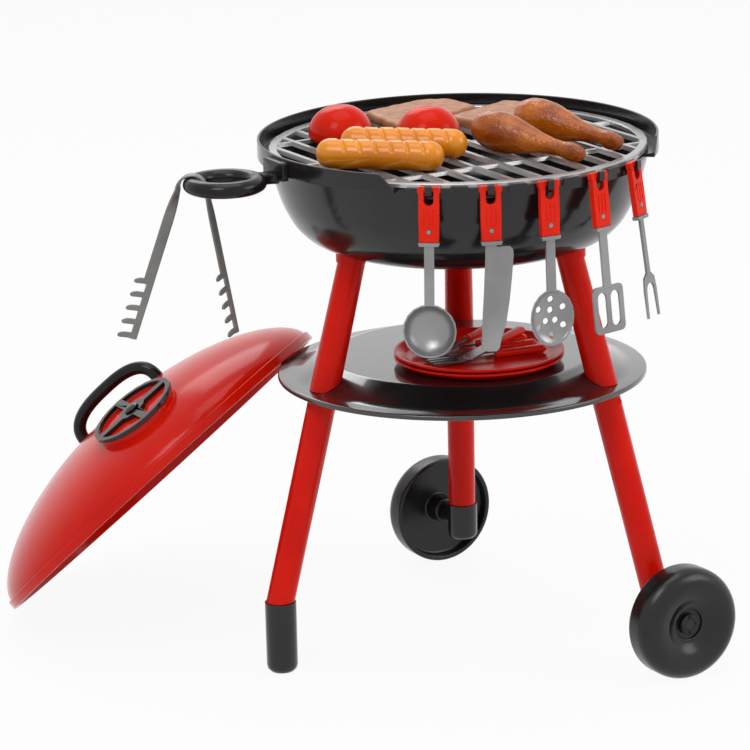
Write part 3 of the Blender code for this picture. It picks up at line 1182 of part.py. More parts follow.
def lid(red, black, steel, parent):
    place = lid_place()
    body = empty("lid_slide", place, parent)
    rise = LID_HEIGHT - LID_FLANGE_HEIGHT
    outline = dome_outline(LID_DOME_RADIUS, rise)
    outline += [(LID_RADIUS, LID_FLANGE_HEIGHT), (LID_RADIUS, 0), (LID_DOME_RADIUS - LID_WALL, 0)]
    outline += reversed(dome_outline(LID_DOME_RADIUS - LID_WALL, rise - LID_WALL))
    shell = turned("lid_shell", outline, BIG_ROUND_STEPS, place=place)

    vent = place @ dome_frame(VENT_REACH, VENT_SIDE_ANGLE)
    depth = VENT_PLINTH_DEPTH + VENT_PLINTH_HEIGHT
    join(shell, rod(
        "vent_plinth", VENT_PLINTH_RADIUS, depth, vent @ shift(z=-VENT_PLINTH_DEPTH), steps=2 * ROUND_STEPS))
    hole = vent @ shift(z=-VENT_PLINTH_DEPTH - OVERRUN)
    cut(shell, rod("vent_pin_hole", VENT_PIN_RADIUS + GAP, depth + 2 * OVERRUN, hole))
    handle = lid_handle(place)
    for number, side in enumerate((-1, 1), start=1):
        foot = side * (LID_HANDLE_SPAN / 2 - LID_HANDLE_TUBE_RADIUS) + LID_HANDLE_UP_SLOPE
        fall = SCREW_HEAD_RADIUS * slope_at(abs(foot))
        seat = inner_height(abs(foot)) - fall - LID_SCREW_SLACK
        screw_place = place @ shift(foot, 0, seat) @ turn(math.pi, "X")
        bite = LID_WALL + 2 * fall + LID_SCREW_SLACK + SCREW_BITE
        hole = screw_place @ shift(z=-bite - 2 * GAP)
        length = bite + 2 * GAP + SCREW_HEAD_HEIGHT
        for piece, label in ((handle, "handle"), (shell, "shell")):
            cut(piece, rod(
                f"lid_{label}_screw_hole_{number}", SCREW_SHANK_RADIUS + GAP, length, hole, steps=FINE_STEPS))
        screw_piece(f"lid_handle_screw_{number}", bite, screw_place, body, steel)
    finish(shell, red, body)
    finish(handle, black, body)
    vent_disc(vent, black, body)


def lid_handle(place):
    """The arched tube, its feet cut to the dome."""
    reach = LID_HANDLE_SPAN / 2 - LID_HANDLE_TUBE_RADIUS
    low = dome_height(reach + LID_HANDLE_UP_SLOPE)
    rise = LID_HEIGHT + LID_HANDLE_RISE - LID_HANDLE_TUBE_RADIUS - low
    curve = bpy.data.curves.new("lid_handle", "CURVE")
    curve.dimensions = "3D"
    curve.bevel_depth = LID_HANDLE_TUBE_RADIUS
    curve.bevel_resolution = 2
    curve.use_fill_caps = True
    path = [(reach, low - OVERRUN)]
    for a in np.linspace(0, math.pi, LID_HANDLE_POINTS):
        across = math.copysign(abs(math.cos(a)) ** LID_HANDLE_FULLNESS_SHARE, math.cos(a))
        path.append((reach * across, low + rise * math.sin(a) ** LID_HANDLE_FULLNESS_SHARE))
    path.append((-reach, low - OVERRUN))
    spline = curve.splines.new("POLY")
    spline.points.add(len(path) - 1)
    for point, (x, z) in zip(spline.points, path):
        point.co = (x, 0, z, 1)
    handle_curve = link("lid_handle", curve)
    handle_curve.matrix_basis = place @ shift(x=LID_HANDLE_UP_SLOPE)
    handle = meshed(handle_curve)
    seat = dome_outline(LID_DOME_RADIUS + GAP, LID_HEIGHT - LID_FLANGE_HEIGHT + GAP) + [(0, 0)]
    cut(handle, turned("lid_handle_seat", seat, 2 * BIG_ROUND_STEPS, place=place))
    return handle


def vent_disc(vent, black, body):
    """A spoked disc on the plinth, and the pin that it turns on."""
    seat = vent @ shift(z=VENT_PLINTH_HEIGHT + GAP)
    axis = empty("vent_hinge", seat, body)
    inner = VENT_RADIUS - VENT_RIM_WIDTH
    hub = VENT_HUB_RADIUS + OVERRUN
    petals = []
    for i in range(VENT_PETAL_COUNT):
        middle = 2 * math.pi * i / VENT_PETAL_COUNT + math.pi / 4
        outer_half = math.pi / VENT_PETAL_COUNT - math.asin(VENT_SPOKE_WIDTH / 2 / inner)
        inner_half = math.pi / VENT_PETAL_COUNT - math.asin(VENT_SPOKE_WIDTH / 2 / hub)
        petals.append(
            arc(0, 0, inner, middle - outer_half, middle + outer_half, 6)
            + arc(0, 0, hub, middle + inner_half, middle - inner_half, 2))
    rim = ellipse(0, 0, VENT_RADIUS, VENT_RADIUS, 2 * SMALL_STEPS)
    bore = ellipse(0, 0, VENT_PIN_RADIUS + GAP, VENT_PIN_RADIUS + GAP, FINE_STEPS)
    disc = plate_of("vent_disc", [rim, bore] + petals, VENT_THICKNESS)
    disc.matrix_basis = seat @ shift(z=VENT_THICKNESS / 2)
    finish(disc, black, axis)
    top = VENT_THICKNESS + GAP
    tail = -GAP - VENT_PLINTH_HEIGHT - VENT_PLINTH_DEPTH - VENT_PIN_TAIL
    outline = [
        (0, top + VENT_PIN_HEAD_HEIGHT), (VENT_PIN_HEAD_RADIUS * 0.6, top + VENT_PIN_HEAD_HEIGHT),
        (VENT_PIN_HEAD_RADIUS, top + VENT_PIN_HEAD_HEIGHT / 2), (VENT_PIN_HEAD_RADIUS, top),
        (VENT_PIN_RADIUS, top), (VENT_PIN_RADIUS, tail), (0, tail)]
    finish(turned("vent_pin", outline, SMALL_STEPS, place=seat), black, body)


def on_grate(share):
    """A place on the grate from shares of its radius."""
    return share[0] * GRATE_RADIUS, share[1] * GRATE_RADIUS, GRATE_TOP + GAP


def food(parent, finishes):
    """Everything on the grate, each piece on its own slide."""
    for i, share in enumerate(TOMATO_PLACE_SHARES, start=1):
        place = shift(*on_grate(share))
        body = empty(f"tomato_slide_{i}", place, parent)
        outline = [(0, 0), (TOMATO_RADIUS * TOMATO_BASE_SHARE, 0)]
        waist = TOMATO_HEIGHT * 0.18
        outline += [
            (TOMATO_RADIUS * math.cos(a), waist + (TOMATO_HEIGHT - waist) * math.sin(a))
            for a in np.linspace(0, math.pi / 2, 7)[:-1]]
        outline.append((0, TOMATO_HEIGHT))
        finish(turned(f"tomato_half_{i}", outline, ROUND_STEPS, place=place), finishes["tomato"], body)
    for i, (share, angle) in enumerate(zip(SAUSAGE_PLACE_SHARES, SAUSAGE_TURNS), start=1):
        place = shift(*on_grate(share)) @ turn(angle)
        sausage(f"sausage_{i}", place, finishes["sausage"], empty(f"sausage_slide_{i}", place, parent))
    for i, shares in enumerate(STEAK_CORNER_SHARES, start=1):
        steak(f"steak_{i}", shares, finishes["steak"], parent, i)
    for i, (share, angle) in enumerate(zip(DRUMSTICK_PLACE_SHARES, DRUMSTICK_TURNS), start=1):
        place = shift(*on_grate(share)) @ turn(angle)
        body = empty(f"drumstick_slide_{i}", place, parent)
        drumstick(f"drumstick_{i}", place, finishes["drumstick"], body)


def sausage(name, place, brown, parent):
    """A capsule that lies along X, with slanting slashes in its top."""
    straight = SAUSAGE_LENGTH / 2 - SAUSAGE_RADIUS
    quarter = np.linspace(0, math.pi / 2, 6)
    outline = [(SAUSAGE_RADIUS * math.sin(a), straight + SAUSAGE_RADIUS * math.cos(a)) for a in quarter]
    outline += [(r, -z) for r, z in reversed(outline)]
    lying = place @ shift(z=SAUSAGE_RADIUS) @ turn(math.pi / 2, "Y")
    made = turned(name, outline, ROUND_STEPS - 4, place=lying)
    for i in range(SAUSAGE_SLASHES):
        x = (i - (SAUSAGE_SLASHES - 1) / 2) * SAUSAGE_SLASH_PITCH
        spot = place @ shift(x, 0, 2 * SAUSAGE_RADIUS - SAUSAGE_SLASH_DEPTH) @ turn(SAUSAGE_SLASH_TURN)
        cut(made, box(
            f"{name}_slash_{i + 1}", SAUSAGE_SLASH_WIDTH * SAUSAGE_SLASH_BASE_SHARE, 2.4 * SAUSAGE_RADIUS,
            SAUSAGE_SLASH_DEPTH + OVERRUN, spot,
            top_share=(1 + OVERRUN / SAUSAGE_SLASH_DEPTH) / SAUSAGE_SLASH_BASE_SHARE))
    return finish(made, brown, parent)


def steak(name, shares, brown, parent, number):
    corners = [(x * GRATE_RADIUS, y * GRATE_RADIUS) for x, y in shares]
    middle = np.mean(np.array(corners), axis=0)
    ordered = sorted(corners, key=lambda c: -math.atan2(c[1] - middle[1], c[0] - middle[0]))
    outline = rounded([(x - middle[0], y - middle[1]) for x, y in ordered], STEAK_CORNER)
    place = shift(middle[0], middle[1], GRATE_TOP + GAP)
    body = empty(f"steak_slide_{number}", place, parent)
    made = plate_of(name, [outline], STEAK_THICKNESS)
    made.matrix_basis = place @ shift(z=STEAK_THICKNESS / 2)
    return finish(made, brown, body)


def drumstick(name, place, brown, parent):
    """A turned leg with its bulb at the origin side, tipped so that bulb and knuckle both rest."""
    outline = [
        (r * DRUMSTICK_RADIUS, -z * DRUMSTICK_LENGTH) for z, r in DRUMSTICK_OUTLINE_SHARES]
    along, across = np.array(DRUMSTICK_OUTLINE_SHARES).T
    knuckle = float(np.interp(DRUMSTICK_KNUCKLE_SHARE, along, across)) * DRUMSTICK_RADIUS
    run = (DRUMSTICK_KNUCKLE_SHARE - DRUMSTICK_BULB_SHARE) * DRUMSTICK_LENGTH
    tip = math.asin((DRUMSTICK_RADIUS - knuckle) / run)
    bulb = DRUMSTICK_BULB_SHARE * DRUMSTICK_LENGTH
    lift = DRUMSTICK_RADIUS + bulb * math.sin(tip) + GAP
    lying = place @ shift(z=lift) @ turn(tip, "Y") @ turn(-math.pi / 2, "Y")
    made = turned(name, outline, SMALL_STEPS + 4, place=lying)
    return finish(made, brown, parent)


def tongs_path():
    """Centre points, tangents and width directions of the strip, in the plane of its two arms."""
    half_width = LOOP_TUBE_WIDTH / 2
    bend = half_width + GAP + TONGS_THICKNESS / 2 + TONGS_BEND_SLACK
    apex = LOOP_TUBE_HEIGHT / 2 + GAP + TONGS_THICKNESS / 2
    centre = np.array((-LOOP_RADIUS, apex - bend))
    turns = np.linspace(math.pi, 0, TONGS_BEND_STEPS + 1)
    bend_points = [centre + bend * np.array((math.cos(a), math.sin(a))) for a in turns]
    down_outer = np.array((-math.sin(TONGS_OUTER_LEAN), -math.cos(TONGS_OUTER_LEAN)))
    down_inner = np.array((math.sin(TONGS_INNER_LEAN), -math.cos(TONGS_INNER_LEAN)))
    outer_steps = np.linspace(TONGS_OUTER_ARM, 0, TONGS_ARM_STEPS + 1)[:-1]
    inner_steps = np.linspace(0, TONGS_INNER_ARM, TONGS_ARM_STEPS + 1)[1:]
    outer = [bend_points[0] + down_outer * s for s in outer_steps]
    inner = [bend_points[-1] + down_inner * s for s in inner_steps]
    points = np.array(outer + bend_points + inner)
    return points


def tongs(grey, parent):
    """A strip lofted along its bend, twisted so that each arm turns its comb to the left."""
    points = tongs_path()
    steps = np.linalg.norm(np.diff(points, axis=0), axis=1)
    along = np.concatenate(([0], np.cumsum(steps)))
    apex = int(np.argmax(points[:, 1]))
    from_apex = along - along[apex]
    tangent = np.gradient(points, axis=0)
    tangent /= np.linalg.norm(tangent, axis=1)[:, None]
    share = np.clip(np.abs(from_apex) / TONGS_TWIST_RUN, 0, 1)
    share = share * share * (3 - 2 * share)
    limit = np.where(from_apex < 0, TONGS_OUTER_TWIST, TONGS_INNER_TWIST)
    twist = share * limit

    frame = radial_frame(LOOP_AZIMUTH, LOOP_CENTRE_REACH, LOOP_HEIGHT)
    place = Matrix.Translation(frame.translation) @ turn(TONGS_PLANE_AZIMUTH + math.pi)
    body = empty("tongs_slide", place @ shift(x=-LOOP_RADIUS), parent)

    def station(index):
        centre = Vector((points[index][0], 0, points[index][1]))
        path = Vector((tangent[index][0], 0, tangent[index][1]))
        across = Vector((0, -1, 0))
        side = path.cross(across)
        turn_to = -1 if from_apex[index] < 0 else 1
        width_way = across * math.cos(twist[index]) + side * math.sin(twist[index]) * turn_to
        width_way.normalize()
        return centre, path, width_way, path.cross(width_way).normalized()

    comb_start = TONGS_TOOTH_PITCH * TONGS_TOOTH_COUNT
    shape = bmesh.new()
    previous = None
    rings = []
    for index in range(len(points)):
        centre, _, width_way, face = station(index)
        from_end = min(along[index], along[-1] - along[index])
        comb = from_end < comb_start
        left = (TONGS_COMB_WIDTH - TONGS_WIDTH / 2) if comb else TONGS_WIDTH / 2
        half = TONGS_THICKNESS / 2
        near = centre + width_way * left
        far = centre - width_way * TONGS_WIDTH / 2
        corners = [near + face * half, near - face * half, far - face * half, far + face * half]
        ring = [shape.verts.new(corner) for corner in corners]
        rings.append(ring)
        if previous:
            for k in range(4):
                shape.faces.new((previous[k], previous[(k + 1) % 4], ring[(k + 1) % 4], ring[k]))
        previous = ring
    shape.faces.new(rings[0])
    shape.faces.new(list(reversed(rings[-1])))
    bmesh.ops.recalc_face_normals(shape, faces=shape.faces)
    mesh = bpy.data.meshes.new("tongs")
    shape.to_mesh(mesh)
    shape.free()
    made = link("tongs", mesh)
    made.matrix_basis = place

    for arm, sign in (("outer", 1), ("inner", -1)):
        end = 0 if sign > 0 else len(points) - 1
        centre, path, width_way, face = station(end)
        inward = path * sign
        for i in range(TONGS_TOOTH_COUNT):
            at_tooth = centre + inward * (i * TONGS_TOOTH_PITCH) - width_way * (TONGS_WIDTH / 2 - GAP)
            basis = Matrix((
                (width_way.x, inward.x, width_way.cross(inward).x, at_tooth.x),
                (width_way.y, inward.y, width_way.cross(inward).y, at_tooth.y),
                (width_way.z, inward.z, width_way.cross(inward).z, at_tooth.z), (0, 0, 0, 1)))
            reach = TONGS_COMB_WIDTH - GAP + TONGS_TOOTH_LENGTH
            thickness = TONGS_THICKNESS - 2 * GAP
            spot = place @ basis @ shift(reach / 2, TONGS_TOOTH_HEIGHT / 2 + GAP, -thickness / 2)
            join(made, box(f"tongs_{arm}_tooth_{i + 1}", reach, TONGS_TOOTH_HEIGHT, thickness, spot))
    return finish(made, grey, body)


def plate_outline():
    foot = PLATE_FLAT_RADIUS * PLATE_FOOT_SHARE
    return [
        (0, PLATE_WALL), (PLATE_FLAT_RADIUS, PLATE_WALL), (PLATE_RADIUS - PLATE_WALL, PLATE_HEIGHT),
        (PLATE_RADIUS, PLATE_HEIGHT), (PLATE_RADIUS, PLATE_HEIGHT - PLATE_WALL),
        (PLATE_FLAT_RADIUS + PLATE_WALL, 0), (foot, 0), (0, 0)]


def plates_and_cutlery(red, grey, parent):
    """Two plates on the shelf, one on the other, and the cutlery on the upper one."""
    x = LOWER_PLATE_PLACE_SHARES[0] * SHELF_PLATEAU_RADIUS
    y = LOWER_PLATE_PLACE_SHARES[1] * SHELF_PLATEAU_RADIUS
    low_place = shift(x, y, SHELF_PLATEAU_TOP + GAP)
    low_body = empty("plate_lower_slide", low_place, parent)
    finish(turned("plate_lower", plate_outline(), PLATE_STEPS, place=low_place), red, low_body)
    high_place = low_place @ shift(*UPPER_PLATE_SHIFT, UPPER_PLATE_RISE)
    high_body = empty("plate_upper_slide", high_place, low_body)
    finish(turned("plate_upper", plate_outline(), PLATE_STEPS, place=high_place), red, high_body)

    first = high_place @ shift(z=PLATE_WALL + GAP)
    row = (("fork", 1), ("knife", 2), ("spoon", 3))
    for kind, number in row:
        place = first @ turn(CUTLERY_LAYER_TURNS[0]) @ shift(y=(number - 2) * CUTLERY_ROW_PITCH)
        cutlery(kind, number, place, red, grey, high_body)
    second = first @ shift(z=CUTLERY_GRIP_HEIGHT + GAP)
    for side, (kind, number) in zip((-1, 1), (("knife", 4), ("fork", 5))):
        place = second @ turn(CUTLERY_LAYER_TURNS[1]) @ shift(y=side * CUTLERY_TOP_PITCH / 2)
        body = empty(f"cutlery_slide_{number}", place, high_body)
        cutlery(kind, number, place, red, grey, body)


def cutlery(kind, number, place, red, grey, parent):
    """A grip to +X and a head to -X, with the head's tang in the grip's slot."""
    place = place @ shift(x=(CUTLERY_HEAD_LENGTH - CUTLERY_GRIP_LENGTH) / 2)
    at_grip = place @ shift(x=CUTLERY_GRIP_LENGTH / 2)
    grip = box(
        f"cutlery_grip_{number}", CUTLERY_GRIP_LENGTH, CUTLERY_GRIP_WIDTH, CUTLERY_GRIP_HEIGHT, at_grip,
        top_share=0.96)
    head_low = (CUTLERY_GRIP_HEIGHT - CUTLERY_HEAD_THICKNESS) / 2
    cut(grip, box(
        f"cutlery_slot_{number}", CUTLERY_TANG_LENGTH + OVERRUN, CUTLERY_TANG_WIDTH + 2 * GAP,
        CUTLERY_HEAD_THICKNESS + 2 * GAP,
        place @ shift(x=(CUTLERY_TANG_LENGTH - OVERRUN) / 2, z=head_low - GAP)))
    finish(grip, red, parent)
    head = plate_of(f"cutlery_head_{number}", [cutlery_outline(kind)], CUTLERY_HEAD_THICKNESS)
    head.matrix_basis = place @ shift(z=head_low + CUTLERY_HEAD_THICKNESS / 2)
    finish(head, grey, parent)


def cutlery_outline(kind):
    """The head's outline from above: its tang to +X, its working end to -X."""
    tang = CUTLERY_TANG_LENGTH - GAP
    half_tang = CUTLERY_TANG_WIDTH / 2
    half_neck = CUTLERY_NECK_WIDTH / 2
    length = CUTLERY_HEAD_LENGTH
    wide = length * CUTLERY_BOWL_SHARE
    points = [(tang, -half_tang), (tang, half_tang), (-GAP, half_tang), (-GAP * 2, half_neck)]
    if kind == "spoon":
        half = CUTLERY_SPOON_WIDTH / 2
        mouth = math.asin(half_neck / half)
        for a in np.linspace(mouth, 2 * math.pi - mouth, SMALL_STEPS):
            points.append((-length + wide / 2 * (1 + math.cos(a)), half * math.sin(a)))
    elif kind == "knife":
        half = CUTLERY_KNIFE_WIDTH / 2
        points += [
            (-length * 0.2, half_neck), (-length * 0.3, half), (-length * 0.85, half), (-length, half * 0.2),
            (-length, -half * 0.4), (-length * 0.97, -half), (-length * 0.3, -half),
            (-length * 0.2, -half_neck)]
    else:
        half = CUTLERY_FORK_WIDTH / 2
        base = -length + wide
        root = base - wide / 4
        prong = (CUTLERY_FORK_WIDTH - (CUTLERY_FORK_PRONGS - 1) * CUTLERY_FORK_GAP) / CUTLERY_FORK_PRONGS
        points += [(base + wide * 0.35, half_neck), (base, half)]
        for i in range(CUTLERY_FORK_PRONGS):
            top = half - i * (prong + CUTLERY_FORK_GAP)
            points += [(-length, top - prong * 0.1), (-length, top - prong * 0.9)]
            if i < CUTLERY_FORK_PRONGS - 1:
                points += [(root, top - prong), (root, top - prong - CUTLERY_FORK_GAP)]
        points += [(base, -half), (base + wide * 0.35, -half_neck)]
    points += [(-GAP * 2, -half_neck), (-GAP, -half_tang)]
    return points


def settle(root):
    """Moves the root so that the origin lies at the bottom centre of the whole object's box."""
    bpy.context.view_layer.update()
    view = bpy.context.evaluated_depsgraph_get()
    lows = []
    highs = []
    for piece in bpy.data.collections["toy_barbecue"].objects:
        if piece.type != "MESH":
            continue
        shape = piece.evaluated_get(view)
        mesh = shape.to_mesh()
        points = np.empty(len(mesh.vertices) * 3)
        mesh.vertices.foreach_get("co", points)
        turning = np.array(piece.matrix_world.to_3x3())
        points = points.reshape(-1, 3) @ turning.T + np.array(piece.matrix_world.translation)
        lows.append(points.min(axis=0))
        highs.append(points.max(axis=0))
        shape.to_mesh_clear()
    low = np.min(lows, axis=0)
    high = np.max(highs, axis=0)
    root.location = (-(low[0] + high[0]) / 2, -(low[1] + high[1]) / 2, -low[2])
    bpy.context.view_layer.update()
    print("box size in mm", np.round((high - low) * 1000, 1))
    print("moved by mm", np.round(np.array(root.location) * 1000, 3))


def main():
    set_up_scene()
    red = material("glossy_red", RED, 0.22)
    black = material("glossy_black", BLACK, 0.28)
    wheel_black = material("wheel_black", BLACK, 0.38)
    silver = material("silver_plastic", SILVER, 0.38)
    steel = material("screw_steel", STEEL, 0.3, 1.0)
    grey = material("tongs_grey", TONGS_GREY, 0.5)
    cutlery_grey = material("cutlery_grey", CUTLERY_GREY, 0.3)
    finishes = {
        "tomato": material("tomato_red", TOMATO_RED, 0.15),
        "sausage": material("sausage_brown", SAUSAGE_BROWN, 0.25),
        "steak": material("steak_brown", STEAK_BROWN, 0.5),
        "drumstick": material("drumstick_brown", DRUMSTICK_BROWN, 0.25)}
    root = empty("barbecue_frame", Matrix())
    kettle_bowl(black, root)
    hook_rail(black, root)
    side_handle(black, steel, root)
    legs(red, root)
    shelf(black, root)
    wheels_and_caps(black, wheel_black, steel, root)
    grate_body = empty("grate_slide", shift(z=GRATE_TOP), root)
    grate(silver, grate_body)
    food(grate_body, finishes)
    utensils(red, silver, root)
    tongs(grey, root)
    plates_and_cutlery(red, cutlery_grey, root)
    lid(red, black, steel, root)
    settle(root)


main()
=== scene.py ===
# %% [markdown]
# # A toy kettle barbecue
# This lesson dresses a child's play barbecue: a black kettle on three red legs, with a shelf, two wheels, a
# lid that leans on the shelf, play food on the grate, and a row of utensils on hooks. The solids come from a
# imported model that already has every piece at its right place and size. What is left is what the eye reads:
# round surfaces without facets, soft edges that catch the light, and a finish for each kind of plastic.

# %% Loading the frame
import json
import math

import bmesh
import bpy
import numpy as np
from mathutils import Matrix, Vector


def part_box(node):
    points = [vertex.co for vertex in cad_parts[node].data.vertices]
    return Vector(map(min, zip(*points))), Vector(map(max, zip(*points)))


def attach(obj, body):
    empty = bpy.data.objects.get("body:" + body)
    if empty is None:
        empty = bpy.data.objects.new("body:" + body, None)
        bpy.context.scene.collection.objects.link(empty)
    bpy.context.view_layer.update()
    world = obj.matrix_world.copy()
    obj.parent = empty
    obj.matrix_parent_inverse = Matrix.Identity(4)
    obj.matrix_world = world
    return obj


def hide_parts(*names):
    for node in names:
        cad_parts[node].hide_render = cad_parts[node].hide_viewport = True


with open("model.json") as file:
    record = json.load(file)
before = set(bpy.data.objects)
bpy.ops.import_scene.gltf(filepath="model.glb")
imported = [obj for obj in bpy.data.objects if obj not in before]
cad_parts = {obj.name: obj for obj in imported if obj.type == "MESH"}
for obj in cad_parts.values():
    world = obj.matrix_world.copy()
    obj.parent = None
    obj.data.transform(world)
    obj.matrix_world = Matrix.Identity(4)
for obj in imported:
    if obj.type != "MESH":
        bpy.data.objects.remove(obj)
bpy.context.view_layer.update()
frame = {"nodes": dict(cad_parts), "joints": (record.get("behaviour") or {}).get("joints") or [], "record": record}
MM = 0.001
WELD = 0.002 * MM


def add(name, data):
    """A new object in the scene, for a mesh, a lamp or a camera."""
    made = bpy.data.objects.new(name, data)
    bpy.context.scene.collection.objects.link(made)
    return made


def corners_of(node):
    """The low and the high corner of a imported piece."""
    return (np.array(corner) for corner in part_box(node))


# %% [markdown]
# ## The camera
# The photograph was taken from well above the rim, a few metres away, with a long lens. The numbers come from
# fitting a camera to the ellipses of the rim, the shelf, the wheels and the lid. A tiny roll is part of it.

# %% The camera at the photograph's viewing angle
CAMERA_PLACE = (-1.95335, -3.53401, 1.34357)
CAMERA_HEADING = math.radians(60.4544)
CAMERA_PITCH = math.radians(-15.0927)
CAMERA_ROLL = math.radians(-1.4304)
SENSOR_WIDTH_MM = 36.0
FOCAL_LENGTH_MM = 207.559

camera_data = bpy.data.cameras.new("camera")
camera_data.sensor_width = SENSOR_WIDTH_MM
camera_data.lens = FOCAL_LENGTH_MM
camera = add("camera", camera_data)
camera.matrix_world = (
    Matrix.Translation(CAMERA_PLACE)
    @ Matrix.Rotation(CAMERA_HEADING - math.pi / 2, 4, "Z")
    @ Matrix.Rotation(CAMERA_PITCH + math.pi / 2, 4, "X")
    @ Matrix.Rotation(CAMERA_ROLL, 4, "Z"))
bpy.context.scene.camera = camera
print("camera looks down by degrees:", round(-math.degrees(CAMERA_PITCH), 1))

# %% [markdown]
# ## Plastics
# Nearly everything here is injection-moulded plastic, and no two of its surfaces shine alike. The legs and the
# lid are glossy red, the kettle glossy black, the wheels duller black, and the tools grey with a fine metal
# flake. A moulded surface is never perfectly even, so each finish varies a little in colour and in roughness,
# and has a fine waviness, "orange peel", that breaks up its reflections. One function builds them all from
# noise on Object coordinates, which stay put when a piece moves.

# %% A finish with cloudy colour, uneven gloss and fine relief
def finish(name, dark, light, gloss, cloud=18.0, peel=(260.0, 0.06), coat=0.0, metallic=0.0, grain=None,
           soft=0.0, mirror=0.5):
    """Colour runs from dark to light with soft noise, roughness from the first to the second value of gloss
    with another noise, and the relief is a noise of the size and depth given by peel, plus an optional grain
    of the same form. mirror sets how strongly the surface reflects when seen straight on."""
    made = bpy.data.materials.new(name)
    made.use_nodes = True
    nodes, links = made.node_tree.nodes, made.node_tree.links
    shader = nodes["Principled BSDF"]
    place = nodes.new("ShaderNodeTexCoord")

    def noise(scale, detail=3.0):
        node = nodes.new("ShaderNodeTexNoise")
        node.inputs["Scale"].default_value = scale
        node.inputs["Detail"].default_value = detail
        links.new(place.outputs["Object"], node.inputs["Vector"])
        return node.outputs["Fac"]

    ramp = nodes.new("ShaderNodeValToRGB")
    ramp.color_ramp.elements[0].position = 0.35
    ramp.color_ramp.elements[1].position = 0.65
    ramp.color_ramp.elements[0].color = (*dark, 1)
    ramp.color_ramp.elements[1].color = (*light, 1)
    links.new(noise(cloud), ramp.inputs["Fac"])
    links.new(ramp.outputs["Color"], shader.inputs["Base Color"])

    spread = nodes.new("ShaderNodeMapRange")
    spread.inputs["From Min"].default_value = 0.3
    spread.inputs["From Max"].default_value = 0.7
    spread.inputs["To Min"].default_value = gloss[0]
    spread.inputs["To Max"].default_value = gloss[1]
    links.new(noise(cloud * 2.3), spread.inputs["Value"])
    links.new(spread.outputs["Result"], shader.inputs["Roughness"])

    previous = None
    for scale, depth in [peel] + ([grain] if grain else []):
        bump = nodes.new("ShaderNodeBump")
        bump.inputs["Strength"].default_value = depth
        bump.inputs["Distance"].default_value = MM
        links.new(noise(scale, 2.0), bump.inputs["Height"])
        if previous:
            links.new(previous.outputs["Normal"], bump.inputs["Normal"])
        previous = bump
    links.new(previous.outputs["Normal"], shader.inputs["Normal"])

    shader.inputs["Metallic"].default_value = metallic
    shader.inputs["Specular IOR Level"].default_value = mirror
    shader.inputs["Coat Weight"].default_value = coat
    shader.inputs["Coat Roughness"].default_value = 0.06
    if soft:
        shader.inputs["Subsurface Weight"].default_value = soft
        shader.inputs["Subsurface Scale"].default_value = 2 * MM
        shader.inputs["Subsurface Radius"].default_value = (1.0, 0.4, 0.2)
    return made


# %% The finishes of this toy
red = finish("gloss_red", (0.66, 0.006, 0.001), (0.74, 0.010, 0.002), (0.15, 0.24), mirror=0.13)
grip_red = finish("grip_red", (0.78, 0.014, 0.003), (0.85, 0.022, 0.005), (0.22, 0.32), mirror=0.16)
lid_red = finish("lid_red", (0.62, 0.007, 0.001), (0.70, 0.012, 0.003), (0.14, 0.21), cloud=9, peel=(90, 0.04),
                 mirror=0.17)
black = finish("gloss_black", (0.008, 0.007, 0.007), (0.013, 0.011, 0.011), (0.12, 0.20), peel=(160, 0.04),
               mirror=0.42)
handle_black = finish("handle_black", (0.007, 0.006, 0.006), (0.011, 0.010, 0.009), (0.14, 0.24),
                      peel=(220, 0.06), mirror=0.24)
shelf_black = finish("shelf_black", (0.009, 0.008, 0.008), (0.014, 0.012, 0.012), (0.14, 0.24), peel=(140, 0.05),
                     coat=0.75)
wheel_black = finish("wheel_black", (0.008, 0.008, 0.008), (0.014, 0.013, 0.013), (0.20, 0.30),
                     peel=(300, 0.08), grain=(1500, 0.06), mirror=0.36)
silver = finish("flake_silver", (0.24, 0.24, 0.245), (0.32, 0.32, 0.325), (0.20, 0.29), peel=(350, 0.06),
                grain=(2600, 0.10), metallic=0.55)
grate_silver = finish("grate_silver", (0.38, 0.38, 0.385), (0.50, 0.50, 0.505), (0.20, 0.28), peel=(250, 0.04),
                      metallic=0.55)
tongs_grey = finish("tongs_grey", (0.17, 0.165, 0.155), (0.24, 0.235, 0.225), (0.36, 0.48), peel=(350, 0.10),
                    grain=(2600, 0.14), metallic=0.3)
steel = finish("screw_steel", (0.45, 0.45, 0.45), (0.60, 0.60, 0.60), (0.22, 0.34), peel=(900, 0.10),
               metallic=1.0)
# Dark metal for the push-on washers, made darker still as painted shade of the deep wheel recess they sit in.
recess_shade_steel = finish("recess_shade_steel", (0.012, 0.011, 0.011), (0.022, 0.021, 0.020), (0.26, 0.38), peel=(700, 0.12),
                    metallic=0.4)
cutlery_grey = finish("cutlery_grey", (0.09, 0.09, 0.095), (0.16, 0.16, 0.165), (0.16, 0.26), metallic=0.7)
print("finishes:", len(bpy.data.materials))

# %% [markdown]
# ## Welded skins
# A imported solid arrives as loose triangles, so a round tube shows its flat facets. Its shape is right, though.
# A skin is a copy of it with the shared corners merged, flat neighbours joined into one face, smooth shading
# wherever two faces meet at a shallow angle, and a narrow bevel on the edges that stay sharp, because no
# moulded edge is knife-sharp. The copy is shown in place of the solid, which stays behind it for collision.

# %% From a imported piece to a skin
bodies_of = {node: body for body, nodes in frame["record"]["behaviour"]["bodies"].items() for node in nodes}


def dress(piece, node, material, *more_nodes):
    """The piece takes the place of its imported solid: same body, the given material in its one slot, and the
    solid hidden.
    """
    piece.data.materials.clear()
    piece.data.materials.append(material)
    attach(piece, bodies_of[node])
    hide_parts(node, *more_nodes)
    return piece


